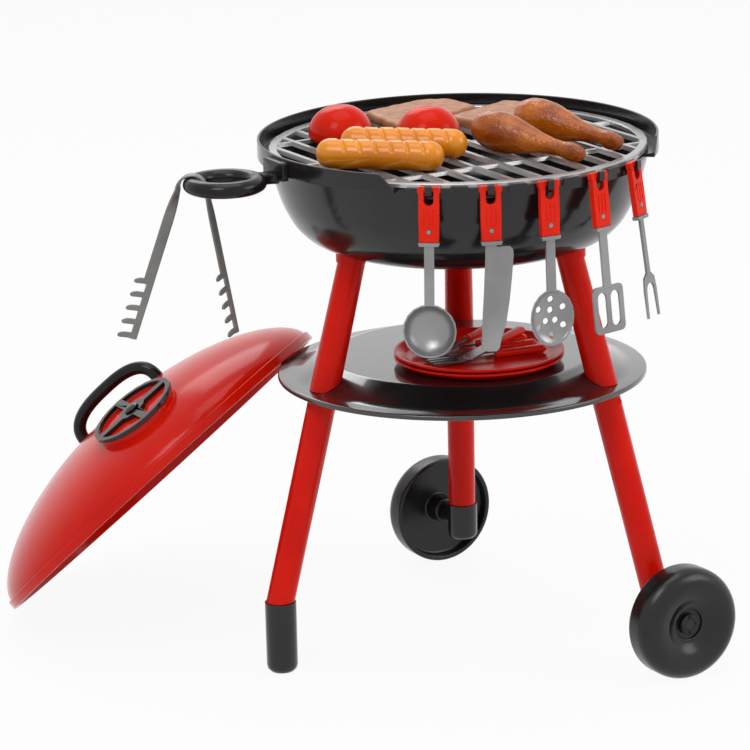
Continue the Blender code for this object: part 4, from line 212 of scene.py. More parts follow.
def skin(node, material, angle=38.0, bevel=0.35 * MM):
    """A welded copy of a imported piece, smooth below the angle, with its sharper edges bevelled."""
    mesh = frame["nodes"][node].data.copy()
    if "custom_normal" in mesh.attributes:
        mesh.attributes.remove(mesh.attributes["custom_normal"])
    shape = bmesh.new()
    shape.from_mesh(mesh)
    bmesh.ops.remove_doubles(shape, verts=shape.verts, dist=WELD)
    bmesh.ops.dissolve_limit(
        shape, angle_limit=math.radians(0.4), verts=shape.verts, edges=shape.edges)
    shape.to_mesh(mesh)
    shape.free()
    mesh.shade_smooth()
    mesh.set_sharp_from_angle(angle=math.radians(angle))
    piece = add(f"{node}_skin", mesh)
    if bevel:
        rounding = piece.modifiers.new("edges", "BEVEL")
        rounding.width = bevel
        rounding.segments = 2
        rounding.limit_method = "ANGLE"
        rounding.angle_limit = math.radians(angle)
        rounding.harden_normals = True
    return dress(piece, node, material)


# %% Skins for the legs, handles, hooks, utensils and cutlery
TOOLS = ("ladle", "knife", "slotted_spoon", "spatula", "fork")
SIDES = ("handle_side", "rear", "front")
for side in SIDES:
    skin(f"upper_leg_{side}", red)
    skin(f"lower_leg_{side}", red)
    skin(f"leg_nut_{side}", red)
for tool in TOOLS:
    skin(f"{tool}_grip", grip_red)
    skin(f"{tool}_tool", silver)
for number in range(1, 6):
    skin(f"cutlery_head_{number}", cutlery_grey, bevel=0.25 * MM)
for node in ("hook_rail", "foot_cap", "axle_cap_front", "axle_cap_rear", "vent_disc", "vent_pin"):
    skin(node, black)
# The washers take the dark metal whose extra darkness is painted shade of the wheel recess.
for node in ("wheel_retainer_front", "wheel_retainer_rear"):
    skin(node, recess_shade_steel, angle=50)
for node in ("side_handle_screw_1", "side_handle_screw_2", "lid_handle_screw_1", "lid_handle_screw_2"):
    skin(node, steel, angle=50, bevel=0.15 * MM)
skin("grate", grate_silver, bevel=0.9 * MM)

# %% [markdown]
# ## Surfaces from two parameters
# The kettle, shelf, lid, wheels and plates are turned shapes: an outline carried round an axis. Such a surface
# is a grid of points, one row for each step round and one column for each point of the outline. All points
# are worked out at once as an array. The outline's corners are rounded first, so the light rolls over them.

# %% An outline with rounded corners, and a grid of points as a mesh
LARGEST_SHARE_OF_A_SIDE = 0.45


def soften(outline, reach, steps=4, closed=False):
    """Each corner B becomes a quadratic curve: (1-s)^2 A + 2s(1-s) B + s^2 C, where A and C lie on its two
    sides, as far from B as reach says but no further than 45% of the side. Open ends stay as they are."""
    points = np.asarray(outline, float)
    before = np.roll(points, 1, axis=0) - points
    after = np.roll(points, -1, axis=0) - points
    lengths = np.minimum(np.linalg.norm(before, axis=1), np.linalg.norm(after, axis=1))
    reach = np.minimum(np.broadcast_to(reach, len(points)), LARGEST_SHARE_OF_A_SIDE * lengths)
    if not closed:
        reach[[0, -1]] = 0
    unit_before = before / np.linalg.norm(before, axis=1, keepdims=True)
    unit_after = after / np.linalg.norm(after, axis=1, keepdims=True)
    a = points + unit_before * reach[:, None]
    c = points + unit_after * reach[:, None]
    s = np.linspace(0, 1, steps + 1)[None, :, None]
    return ((1 - s) ** 2 * a[:, None] + 2 * s * (1 - s) * points[:, None] + s ** 2 * c[:, None]).reshape(-1, 2)


def surface(name, points, around=True, along=False, sharp=38.0):
    """A mesh of quads between neighbouring points of a grid. around joins the last row to the first, and
    along the last column to the first. Points that fall together, as at a pole, are merged."""
    rows, columns = points.shape[:2]
    i, j = np.meshgrid(
        np.arange(rows if around else rows - 1), np.arange(columns if along else columns - 1), indexing="ij")
    next_i, next_j = (i + 1) % rows, (j + 1) % columns
    quads = np.stack([
        i * columns + j, next_i * columns + j, next_i * columns + next_j, i * columns + next_j], -1)
    mesh = bpy.data.meshes.new(name)
    mesh.from_pydata(points.reshape(-1, 3), [], quads.reshape(-1, 4).tolist())
    shape = bmesh.new()
    shape.from_mesh(mesh)
    bmesh.ops.remove_doubles(shape, verts=shape.verts, dist=WELD)
    bmesh.ops.recalc_face_normals(shape, faces=shape.faces)
    shape.to_mesh(mesh)
    shape.free()
    mesh.shade_smooth()
    mesh.set_sharp_from_angle(angle=math.radians(sharp))
    return add(name, mesh)


def lathe(outline, turns=192, centre=(0, 0, 0), axes=np.eye(3)):
    """Grid of points: reach r and height h at angle a give centre + r cos(a) X + r sin(a) Y + h Z."""
    a = np.linspace(0, 2 * math.pi, turns, endpoint=False)[:, None]
    r, h = np.asarray(outline, float).T
    local = np.stack([r * np.cos(a), r * np.sin(a), np.broadcast_to(h, (turns, len(h)))], -1)
    return local @ np.asarray(axes, float).T + np.asarray(centre, float)


def joined(name, pieces):
    """Several meshes as one object."""
    shape = bmesh.new()
    for piece in pieces:
        shape.from_mesh(piece.data)
        bpy.data.objects.remove(piece)
    mesh = bpy.data.meshes.new(name)
    shape.to_mesh(mesh)
    shape.free()
    return add(name, mesh)


grate_low, grate_high = corners_of("grate")
axis_x, axis_y = (grate_low + grate_high)[:2] / 2
print("the kettle's axis in mm:", round(axis_x / MM, 1), round(axis_y / MM, 1))

# %% [markdown]
# ## The kettle
# The real kettle is one moulding: a flat-bottomed bowl, a narrow ledge that carries the grate, and a band that
# stands up from the ledge. The band is cut away at the front, where the hooks are, and its ends slope. As a
# surface, the kettle is an outline carried round, whose band height depends on the angle: full height at the
# back, nothing at the front, and a short slope between.

# %% The kettle's wall, with its band lowered at the front
RIM_RADIUS, RIM_TOP, WALL = 190 * MM, 498 * MM, 2.5 * MM
MOUTH_RADIUS, LEDGE_TOP, BOWL_BOTTOM, BOWL_FLOOR = 181 * MM, 483 * MM, 391 * MM, 4 * MM
BOWL_SHARES = np.array(
    [(1.0, 0.0), (0.964, 0.26), (0.928, 0.494), (0.867, 0.724), (0.79, 0.871), (0.674, 0.965), (0.58, 1.0)])
FRONT_MIDDLE, FRONT_LOW, FRONT_HIGH = math.radians(-92), math.radians(46.9), math.radians(51.4)
FRONT_LIP, BOWL_ROUNDING, BAND_ROUNDING = 1.5 * MM, 9 * MM, 1.1 * MM
KETTLE_STEPS, CUT_EDGE_ANGLE, CUT_END_ANGLE = 240, 1e-4, 0.01


def bowl_side(mouth, top, bottom):
    """The bowl's side from its mouth down to its flat bottom: shares of the mouth's radius and the depth."""
    return np.stack([BOWL_SHARES[:, 0] * mouth, top - BOWL_SHARES[:, 1] * (top - bottom)], 1)


ledge_under = LEDGE_TOP - WALL
outer_side = bowl_side(MOUTH_RADIUS, ledge_under, BOWL_BOTTOM)
inner_side = bowl_side(MOUTH_RADIUS - WALL, LEDGE_TOP, BOWL_BOTTOM + BOWL_FLOOR)
band = [(RIM_RADIUS, ledge_under), (RIM_RADIUS, RIM_TOP), (RIM_RADIUS - WALL, RIM_TOP),
        (RIM_RADIUS - WALL, LEDGE_TOP)]
kettle_outline = np.vstack([
    [(0, BOWL_BOTTOM)], outer_side[::-1], band, inner_side, [(0, BOWL_BOTTOM + BOWL_FLOOR)]])
corner_reach = np.full(len(kettle_outline), BOWL_ROUNDING)
corner_reach[len(outer_side):len(outer_side) + len(band) + 2] = BAND_ROUNDING
kettle_outline = soften(kettle_outline, corner_reach, steps=6)

even = np.linspace(-math.pi, math.pi, KETTLE_STEPS, endpoint=False)
ends = np.array([
    FRONT_LOW - CUT_EDGE_ANGLE, FRONT_LOW + CUT_EDGE_ANGLE, FRONT_HIGH, FRONT_HIGH + CUT_END_ANGLE])
from_front = np.sort(np.concatenate([even, ends, -ends]))
share = np.clip((np.abs(from_front) - FRONT_LOW) / (FRONT_HIGH - FRONT_LOW), 0, 1)
open_front = np.abs(from_front) < FRONT_LOW
band_top = np.where(open_front, LEDGE_TOP, LEDGE_TOP + FRONT_LIP + share * (RIM_TOP - LEDGE_TOP - FRONT_LIP))
r, h = kettle_outline.T
rise = (band_top[:, None] - LEDGE_TOP) / (RIM_TOP - LEDGE_TOP)
heights = np.where(h > LEDGE_TOP, LEDGE_TOP + (h - LEDGE_TOP) * rise, h)
reaches = np.where(open_front[:, None], np.minimum(r, MOUTH_RADIUS), r)
angle = (from_front + FRONT_MIDDLE)[:, None]
kettle_points = np.stack([axis_x + reaches * np.cos(angle), axis_y + reaches * np.sin(angle), heights], -1)
kettle_wall = surface("kettle_wall", kettle_points)
print("kettle wall faces:", len(kettle_wall.data.polygons))

# %% The three pads under the kettle that the legs are bolted to
PAD_RADIUS, PAD_BORE, PAD_PROUD, PAD_HEIGHT, PAD_ROUNDING = 14.5 * MM, 5.3 * MM, 0.8 * MM, 12.2 * MM, 0.5 * MM
LEG_TOP_REACH = 118 * MM
LEG_ANGLES = [math.radians(a) for a in (180, 60, -60)]
pad_outline = soften([
    (PAD_BORE, -PAD_PROUD), (PAD_RADIUS, -PAD_PROUD), (PAD_RADIUS, PAD_HEIGHT), (PAD_BORE, PAD_HEIGHT)],
    PAD_ROUNDING, closed=True)
pads = [
    surface(f"pad_{number}", lathe(pad_outline, 40, (
        axis_x + LEG_TOP_REACH * math.cos(a), axis_y + LEG_TOP_REACH * math.sin(a), BOWL_BOTTOM)), along=True)
    for number, a in enumerate(LEG_ANGLES)]
kettle = dress(joined("kettle", [kettle_wall] + pads), "kettle_bowl", black)

# %% A red collar at the top of each leg, cut to the curve of the bowl
COLLAR_RADIUS, COLLAR_WALL, COLLAR_DROP, COLLAR_BITE = 15.2 * MM, 1.5 * MM, 1.1 * MM, 0.8 * MM


def leg_collar(side, angle_of_leg):
    """A ring about the leg's top. Its lower edge is level, and its upper edge follows the bowl: at each angle a
    the height is the bowl's own height at that distance from the kettle's axis, and a small bite more."""
    a = np.linspace(0, 2 * math.pi, 72, endpoint=False)[:, None]
    reach = np.array([COLLAR_RADIUS - COLLAR_WALL, COLLAR_RADIUS, COLLAR_RADIUS, COLLAR_RADIUS - COLLAR_WALL])
    x = LEG_TOP_REACH * math.cos(angle_of_leg) + reach * np.cos(a)
    y = LEG_TOP_REACH * math.sin(angle_of_leg) + reach * np.sin(a)
    bowl = np.interp(np.hypot(x, y), outer_side[::-1, 0], outer_side[::-1, 1], left=BOWL_BOTTOM) + COLLAR_BITE
    z = np.where(np.array([True, True, False, False]), BOWL_BOTTOM - COLLAR_DROP, bowl)
    collar = surface(f"leg_collar_{side}", np.stack([x + axis_x, y + axis_y, z], -1), along=True)
    collar.data.materials.append(red)
    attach(collar, bodies_of[f"upper_leg_{side}"])
    return collar


for side, angle_of_leg in zip(SIDES, LEG_ANGLES):
    leg_collar(side, angle_of_leg)
print("collars:", len(SIDES))

# %% [markdown]
# ## The side handle
# A thick ring on a neck that flares into it, with a foot plate screwed to the kettle's band. The ring is an
# ellipse carried round a circle. The neck is an ellipse carried along the way out, whose width grows at both
# ends. The foot plate is a rounded rectangle, bent round the band.

# %% Ring, neck and foot plate
LOOP_AZIMUTH = math.radians(177.7)
LOOP_REACH, LOOP_RADIUS, LOOP_HEIGHT = RIM_RADIUS + 55 * MM, 30.5 * MM, 479 * MM
TUBE_WIDTH, TUBE_HEIGHT, NECK_WIDTH, NECK_HEIGHT = 17 * MM, 15 * MM, 17 * MM, 12.2 * MM
FOOT_WIDTH, FOOT_HEIGHT, FOOT_DEPTH, FOOT_TOP, FOOT_CORNER = 40 * MM, 18 * MM, 7 * MM, 495.5 * MM, 4 * MM
FOOT_LAYERS = np.array([(0, 0.1), (1, 0.1), (1, 5.2), (0.985, 6.2), (0.95, 6.8), (0.88, 7.0), (0, 7.0)])
FOOT_BITE = 4 * MM
outward = np.array((math.cos(LOOP_AZIMUTH), math.sin(LOOP_AZIMUTH), 0))
sideways = np.array((-math.sin(LOOP_AZIMUTH), math.cos(LOOP_AZIMUTH), 0))
kettle_axis = np.array((axis_x, axis_y, 0))
section_angles = np.linspace(0, 2 * math.pi, 40, endpoint=False)
section_cos, section_sin = np.cos(section_angles), np.sin(section_angles)
tube = np.stack([LOOP_RADIUS + TUBE_WIDTH / 2 * section_cos, TUBE_HEIGHT / 2 * section_sin], 1)
loop_centre = kettle_axis + outward * LOOP_REACH + (0, 0, LOOP_HEIGHT)
loop = surface("loop", lathe(tube, 128, loop_centre), along=True)


def fuller(value, power):
    """The value's size raised to a power below 1, with its sign kept, which fills out a round section."""
    return np.sign(value) * np.abs(value) ** power


def neck_points():
    """Along the share t from the ring to the foot: half width w(1 + (1-t)^3 + 0.35 t^4), half height h, and a
    section (w c|c|^-0.2, h s|s|^-0.2) for the cosine c and sine s of an angle, which is an ellipse with fuller
    sides. Both ends close on their middle."""
    t = np.concatenate([[0], np.linspace(0, 1, 36), [1]])[:, None]
    open_end = np.ones_like(t)
    open_end[[0, -1]] = 0
    half_width = NECK_WIDTH / 2 * (1 + (1 - t) ** 3 + 0.35 * t ** 4) * open_end
    half_height = NECK_HEIGHT / 2 * (1 - 0.06 * np.sin(math.pi * t)) * open_end
    y = half_width * fuller(section_cos, 0.8)
    z = half_height * fuller(section_sin, 0.8)
    reach = LOOP_REACH - LOOP_RADIUS + t * (RIM_RADIUS + FOOT_BITE - LOOP_REACH + LOOP_RADIUS)
    return kettle_axis + reach[..., None] * outward + y[..., None] * sideways + (
        (z + LOOP_HEIGHT)[..., None] * np.array((0, 0, 1)))


def foot_points():
    """A rounded rectangle (s, z), shrunk a little as it nears the outer face, at the angle s / R and the reach
    R + depth about the kettle's axis, so that its back follows the band."""
    half = np.array((FOOT_WIDTH, FOOT_HEIGHT)) / 2
    ring = soften(half * [(-1, -1), (1, -1), (1, 1), (-1, 1)], FOOT_CORNER, 8, closed=True)
    shrink, layer = FOOT_LAYERS.T
    s, z = (ring[:, None, k] * shrink for k in (0, 1))
    angle = LOOP_AZIMUTH + s / RIM_RADIUS
    reach = RIM_RADIUS + layer / layer.max() * FOOT_DEPTH
    return np.stack([
        axis_x + reach * np.cos(angle), axis_y + reach * np.sin(angle), z + FOOT_TOP - FOOT_HEIGHT / 2], -1)


neck = surface("neck", neck_points(), around=False, along=True)
foot_plate = surface("foot_plate", foot_points())
dress(joined("side_loop", [loop, neck, foot_plate]), "side_handle", handle_black)
print("side handle reaches out by mm:", round((LOOP_REACH + LOOP_RADIUS + TUBE_WIDTH / 2) / MM, 1))

# %% [markdown]
# ## The shelf
# The shelf is a shallow upside-down dish with a raised flat middle, a sloping skirt and a turned-down lip. Its
# legs pass through it where the two halves of each leg meet, so no hole shows.

# %% The shelf's outline and its surface
SHELF_RADIUS, SHELF_TOP, PLATEAU_RADIUS = 177 * MM, 283.5 * MM, 125 * MM
FLANGE_RADIUS, FLANGE_TOP, LIP_TOP, LIP_HEIGHT, SHELF_WALL = 159 * MM, 269.6 * MM, 268.8 * MM, 4.5 * MM, 2.6 * MM
SHELF_ROUNDINGS = MM * np.array([0, 3, 6, 3.2, 0.6, 0.6, 1, 5, 3, 0])
shelf_top = [(0, SHELF_TOP), (PLATEAU_RADIUS, SHELF_TOP), (FLANGE_RADIUS, FLANGE_TOP), (SHELF_RADIUS, LIP_TOP)]
shelf_under = [
    (SHELF_RADIUS, LIP_TOP - LIP_HEIGHT), (SHELF_RADIUS - SHELF_WALL, LIP_TOP - LIP_HEIGHT),
    (SHELF_RADIUS - SHELF_WALL, LIP_TOP - SHELF_WALL), (FLANGE_RADIUS, FLANGE_TOP - SHELF_WALL),
    (PLATEAU_RADIUS, SHELF_TOP - SHELF_WALL), (0, SHELF_TOP - SHELF_WALL)]
shelf_outline = soften(shelf_top + shelf_under, SHELF_ROUNDINGS, steps=6)
shelf = surface("shelf_dish", lathe(shelf_outline, 224, (axis_x, axis_y, 0)), sharp=60)
dress(shelf, "shelf", shelf_black)
print("shelf faces:", len(shelf.data.polygons))

# %% [markdown]
# ## The lid
# A thin dome, fuller near its edge than a ball's cap, with a narrow straight flange. Its height over a circle of
# radius r is rise x (1 - (r/R)^2)^(power/2), and spacing the points by the sine of an angle keeps them even
# along the curve. The vent stands on a round plinth of its own.

# %% The dome, its plinth, and where they stand
LID_RADIUS, DOME_RADIUS, LID_HEIGHT, LID_FLANGE, LID_WALL, DOME_POWER = (
    199.5 * MM, 196.5 * MM, 80 * MM, 9 * MM, 2.2 * MM, 1.25)
lid_origin = np.array((-0.1063329, 0.1534168, 0.13715))
lid_axes = np.array([(0.5008706, 0.7253743, -0.4721871), (-0.5278075, 0.6883546, 0.4975813),
                     (0.6859649, 0.0, 0.7276347)])
vent_joint = next(j for j in frame["joints"] if j["name"] == "vent_turn")
vent_origin, vent_axis = np.array(vent_joint["pos_m"]), np.array(vent_joint["axis"])
PLINTH_RADIUS, PLINTH_BORE, PLINTH_GAP, PLINTH_HEIGHT = 43 * MM, 3.4 * MM, 0.3 * MM, 9 * MM
PLINTH_ROUNDINGS = MM * np.array([0.3, 1.4, 0.5, 0.3])
FLANGE_ROUNDINGS = MM * np.array([0, 1.2, 1.2, 1.0, 0.8, 0])


def dome(radius, height):
    """Points (r sin a, flange + height x cos(a)^power) for angles a from the pole to the edge."""
    a = np.linspace(0, math.pi / 2, 56)
    return np.stack([radius * np.sin(a), LID_FLANGE + height * np.maximum(np.cos(a), 0) ** DOME_POWER], 1)


outside = dome(DOME_RADIUS, LID_HEIGHT - LID_FLANGE)
inside = dome(DOME_RADIUS - LID_WALL, LID_HEIGHT - LID_FLANGE - LID_WALL)[::-1]
flange = soften(
    [outside[-2], (DOME_RADIUS, LID_FLANGE), (LID_RADIUS, LID_FLANGE), (LID_RADIUS, 0),
     (DOME_RADIUS - LID_WALL, 0), inside[1]], FLANGE_ROUNDINGS, steps=5)
lid_dome = surface("lid_dome", lathe(np.vstack([outside[:-1], flange, inside[1:]]), 256, lid_origin, lid_axes))

across = np.cross(vent_axis, (0, 0, 1.0))
across /= np.linalg.norm(across)
vent_axes = np.stack([across, np.cross(vent_axis, across), vent_axis], 1)
plinth_base = -PLINTH_GAP - PLINTH_HEIGHT
plinth_outline = soften([
    (PLINTH_BORE, -PLINTH_GAP), (PLINTH_RADIUS, -PLINTH_GAP), (PLINTH_RADIUS, plinth_base),
    (PLINTH_BORE, plinth_base)], PLINTH_ROUNDINGS, closed=True)
plinth = surface("vent_plinth", lathe(plinth_outline, 96, vent_origin, vent_axes), along=True)
dress(joined("lid_cover", [lid_dome, plinth]), "lid_shell", lid_red)

# %% The lid's handle, a round bar bent to an arch
HANDLE_REACH, HANDLE_UP, BAR_RADIUS, HANDLE_TOP, ARCH_FULLNESS = 52.6 * MM, 13 * MM, 6.4 * MM, 101.6 * MM, 0.74
HANDLE_END, DOME_BITE = 6 * MM, 1.0 * MM


def dome_height(reach):
    """The dome's outer height at a distance from its axis."""
    share = np.clip(1 - (reach / DOME_RADIUS) ** 2, 0, 1)
    return LID_FLANGE + (LID_HEIGHT - LID_FLANGE) * share ** (DOME_POWER / 2)


def arch_points():
    """The bar's middle is (A cos(t)^p, L + B sin(t)^p) with a power p below 1, which is fuller than an ellipse.
    A circle is carried along it, square to the path. What would pass through the dome stops inside its wall."""
    low = dome_height(HANDLE_REACH + HANDLE_UP)
    t = np.linspace(0, math.pi, 80)
    x = HANDLE_REACH * fuller(np.cos(t), ARCH_FULLNESS)
    z = low + (HANDLE_TOP - low) * np.abs(np.sin(t)) ** ARCH_FULLNESS
    path = np.vstack([
        [(HANDLE_REACH, low - HANDLE_END)], np.stack([x, z], 1), [(-HANDLE_REACH, low - HANDLE_END)]])
    way = np.gradient(path, axis=0)
    way /= np.linalg.norm(way, axis=1, keepdims=True)
    side = np.stack([way[:, 1], -way[:, 0]], 1)
    path, side = (np.concatenate([v[:1], v, v[-1:]])[:, None] for v in (path, side))
    radius = np.full((len(path), 1), BAR_RADIUS)
    radius[[0, -1]] = 0
    x = path[..., 0] + HANDLE_UP + radius * section_cos * side[..., 0]
    y = radius * section_sin
    z = path[..., 1] + radius * section_cos * side[..., 1]
    z = np.maximum(z, dome_height(np.hypot(x, y)) - DOME_BITE)
    return np.stack([x, y, z], -1) @ lid_axes.T + lid_origin


dress(surface("lid_arch", arch_points(), around=False, along=True, sharp=60), "lid_handle", handle_black)
print("handle stands above the lid by mm:", round((HANDLE_TOP + BAR_RADIUS - LID_HEIGHT) / MM, 1))

# %% [markdown]
# ## The wheels
# Each wheel is a hollow drum with a well-rounded outer edge, a dished face and a deep recess round its
# push-on washer. The outline is turned about the wheel's own axle.

# %% A wheel's outline, turned about each axle
WHEEL_RADIUS, WHEEL_WIDTH, WHEEL_OFFSET, AXLE_BORE = 54 * MM, 30 * MM, 50 * MM, 5.3 * MM
HUB_RADIUS, HUB_PROUD, HUB_DEPTH, DRUM_INSIDE, DRUM_DEPTH = 13 * MM, 4 * MM, 15 * MM, 49 * MM, 10.5 * MM
SHOULDER, WHEEL_ROUNDING, RECESS_DEPTH = 15 * MM, 3.2 * MM, 11 * MM
OUTER_DISH = MM * np.array([(35, 0.2), (27, 2.4), (21.5, 6), (17.5, 8), (14.5, 8.4), (14.5, 11)])
inner_face, outer_face = WHEEL_OFFSET - WHEEL_WIDTH / 2, WHEEL_OFFSET + WHEEL_WIDTH / 2
arc_angles = np.linspace(0, math.pi / 2, 12)
shoulder = np.stack([WHEEL_RADIUS - SHOULDER + SHOULDER * np.cos(arc_angles),
                     outer_face - SHOULDER + SHOULDER * np.sin(arc_angles)], 1)
wheel_corners = np.vstack([
    [(AXLE_BORE, inner_face - HUB_PROUD), (HUB_RADIUS, inner_face - HUB_PROUD),
     (HUB_RADIUS, inner_face + HUB_DEPTH), (DRUM_INSIDE, inner_face + DRUM_DEPTH), (DRUM_INSIDE, inner_face),
     (WHEEL_RADIUS, inner_face)],
    shoulder, (0, outer_face) + OUTER_DISH * (1, -1), [(AXLE_BORE, outer_face - RECESS_DEPTH)]])
wheel_outline = soften(wheel_corners, WHEEL_ROUNDING, steps=5, closed=True)
for end in ("rear", "front"):
    joint = next(j for j in frame["joints"] if j["name"] == f"wheel_{end}_turn")
    z_axis = np.array(joint["axis"])
    x_axis = np.array((1.0, 0, 0))
    axes = np.stack([x_axis, np.cross(z_axis, x_axis), z_axis], 1)
    points = lathe(wheel_outline, 128, joint["pos_m"], axes)
    dress(surface(f"wheel_{end}_drum", points, along=True), f"wheel_{end}", wheel_black)
print("wheel outline points:", len(wheel_outline))

# %% [markdown]
# ## The plates
# Two shallow plates lie one in the other on the shelf, with a raised rim.

# %% A plate's outline, at both places
PLATE_RADIUS, PLATE_HEIGHT, PLATE_FLAT, PLATE_WALL = 81 * MM, 8 * MM, 68 * MM, 2.2 * MM
PLATE_ROUNDINGS = MM * np.array([0, 2, 0.8, 0.8, 0.8, 2, 0])
plate_outline = soften([
    (0, PLATE_WALL), (PLATE_FLAT, PLATE_WALL), (PLATE_RADIUS - PLATE_WALL, PLATE_HEIGHT),
    (PLATE_RADIUS, PLATE_HEIGHT), (PLATE_RADIUS, PLATE_HEIGHT - PLATE_WALL), (PLATE_FLAT + PLATE_WALL, 0),
    (0, 0)], PLATE_ROUNDINGS, steps=5)
for level in ("lower", "upper"):
    low, high = corners_of(f"plate_{level}")
    centre = ((low + high)[0] / 2, (low + high)[1] / 2, low[2])
    dress(surface(f"plate_{level}_dish", lathe(plate_outline, 128, centre)), f"plate_{level}", red)
print("plate outline points:", len(plate_outline))

# %% [markdown]
# ## The cutlery's grips
# Small rounded handles that swell towards the hand and have a ring cut in near the metal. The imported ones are
# plain bars, so each bar's own middle and directions are read from its points: the longest direction of a bar
# is the one in which its points spread most.

# %% A swelling bar in place of each plain one
GRIP_LENGTH, GRIP_WIDTH, GRIP_HEIGHT, GRIP_NARROW = 54 * MM, 11.5 * MM, 7.5 * MM, 0.66
HAND_END_SHARE, METAL_END_SHARE = 0.10, 0.02
RING_CUT_SHARE, RING_CUT_WIDTH_SHARE, RING_CUT_DEPTH_SHARE = 0.10, 0.013, 0.14


def points_of(piece):
    """A piece's own points as an array."""
    return np.array([vertex.co[:] for vertex in piece.data.vertices])


def cutlery_grip(number):
    """Along the share t from the metal to the hand, the half width is W/2 (0.66 + 0.34 sin^2(1.6 t)), times a
    quarter circle that rounds off each end and a narrow dip for the ring. The section is an ellipse with
    fuller sides."""
    own = np.unique(np.round(points_of(frame["nodes"][f"cutlery_grip_{number}"]), 6), axis=0)
    head = points_of(frame["nodes"][f"cutlery_head_{number}"]).mean(0)
    along, across, up = np.linalg.svd(own - own.mean(0), full_matrices=False)[2]
    spans = [own @ way for way in (along, across, up)]
    centre = sum((span.max() + span.min()) / 2 * way for span, way in zip(spans, (along, across, up)))
    if np.dot(head - centre, along) > 0:
        along = -along
    t = (1 - np.cos(np.linspace(0, math.pi, 72)))[:, None] / 2
    past_hand = np.clip((t - 1 + HAND_END_SHARE) / HAND_END_SHARE, 0, 1)
    past_metal = np.clip((METAL_END_SHARE - t) / METAL_END_SHARE, 0, 1)
    ends = np.sqrt(1 - past_hand ** 2) * np.sqrt(1 - past_metal ** 2)
    ring_cut = 1 - RING_CUT_DEPTH_SHARE * np.exp(-((t - RING_CUT_SHARE) / RING_CUT_WIDTH_SHARE) ** 2)
    swell = GRIP_NARROW + (1 - GRIP_NARROW) * np.sin(1.6 * t) ** 2
    y = GRIP_WIDTH / 2 * swell * ends * ring_cut * fuller(section_cos, 0.85)
    z = GRIP_HEIGHT / 2 * (0.86 + 0.14 * swell) * ends * ring_cut * fuller(section_sin, 0.85)
    x = (t - 0.5) * GRIP_LENGTH
    points = centre + x[..., None] * along + y[..., None] * across + z[..., None] * up
    return dress(surface(f"cutlery_bar_{number}", points, around=False, along=True, sharp=60),
                 f"cutlery_grip_{number}", grip_red)


for number in range(1, 6):
    cutlery_grip(number)
print("cutlery grips: 5, each in mm:", round(GRIP_LENGTH / MM), "x", GRIP_WIDTH / MM, "x", GRIP_HEIGHT / MM)

# %% [markdown]
# ## The play food
# The food is blow-moulded or pressed from softer plastic, glossy, and shaded a little to look cooked. Each
# piece is a surface of two parameters whose radius swells and dips: low waves for lumps, and a narrow dip for
# each slash in a sausage.

# %% The food's finishes
tomato_red = finish("tomato_red", (0.62, 0.010, 0.001), (0.74, 0.018, 0.002), (0.12, 0.19), soft=0.02,
                    mirror=0.09)
sausage_brown = finish("sausage_brown", (0.70, 0.20, 0.005), (0.85, 0.295, 0.010), (0.14, 0.22), cloud=22,
                       soft=0.03, mirror=0.36)
steak_brown = finish("steak_brown", (0.34, 0.125, 0.048), (0.45, 0.190, 0.082), (0.34, 0.46), cloud=60,
                     peel=(300, 0.22), soft=0.03, mirror=0.30)
drumstick_brown = finish("drumstick_brown", (0.27, 0.048, 0.001), (0.54, 0.140, 0.003), (0.13, 0.22), cloud=34,
                         peel=(330, 0.80), grain=(120, 0.25), soft=0.02, mirror=0.36)


# %% Tomato halves
TOMATO_FOOT_SHARE, LOBE_SHARE, DIMPLE_DEPTH_SHARE, DIMPLE_WIDTH_SHARE = 0.18, 0.012, 0.05, 0.22


def tomato(number):
    """Reach R (1 - w (1 - cos 5a)) round the middle, and a height that follows a quarter circle above a low
    foot, dimpled on top."""
    low, high = corners_of(f"tomato_half_{number}")
    radius, height = (high - low)[0] / 2, (high - low)[2]
    a = np.linspace(0, 2 * math.pi, 96, endpoint=False)[:, None]
    t = np.linspace(0, math.pi / 2, 28)
    foot = TOMATO_FOOT_SHARE * height
    r = np.concatenate([[0, 0.5, 0.93, 0.975], np.cos(t)]) * radius
    h = np.concatenate([[0, 0, 0, 0.35 * foot], foot + (height - foot) * np.sin(t)])
    lobes = 1 - LOBE_SHARE * (1 - np.cos(5 * a))
    dip = DIMPLE_DEPTH_SHARE * height * np.exp(-(r / (DIMPLE_WIDTH_SHARE * radius)) ** 2) * (h > foot)
    x, y = r * np.cos(a) * lobes, r * np.sin(a) * lobes
    z = np.broadcast_to(h - dip, x.shape)
    centre = np.array([(low + high)[0] / 2, (low + high)[1] / 2, low[2]])
    return dress(surface(f"tomato_{number}", np.stack([x, y, z], -1) + centre, sharp=60),
                 f"tomato_half_{number}", tomato_red)


for number in (1, 2):
    tomato(number)
print("lobes on a tomato: 5")

# %% Sausages
SAUSAGE_RADIUS, SAUSAGE_LENGTH, SAUSAGE_TURN, SAUSAGE_STEPS = 14 * MM, 121 * MM, math.radians(-43), 260
SLASHES, SLASH_PITCH, SLASH_WIDTH, SLASH_DEPTH, SLASH_TURN = 6, 15 * MM, 1.3 * MM, 1.6 * MM, math.radians(28)


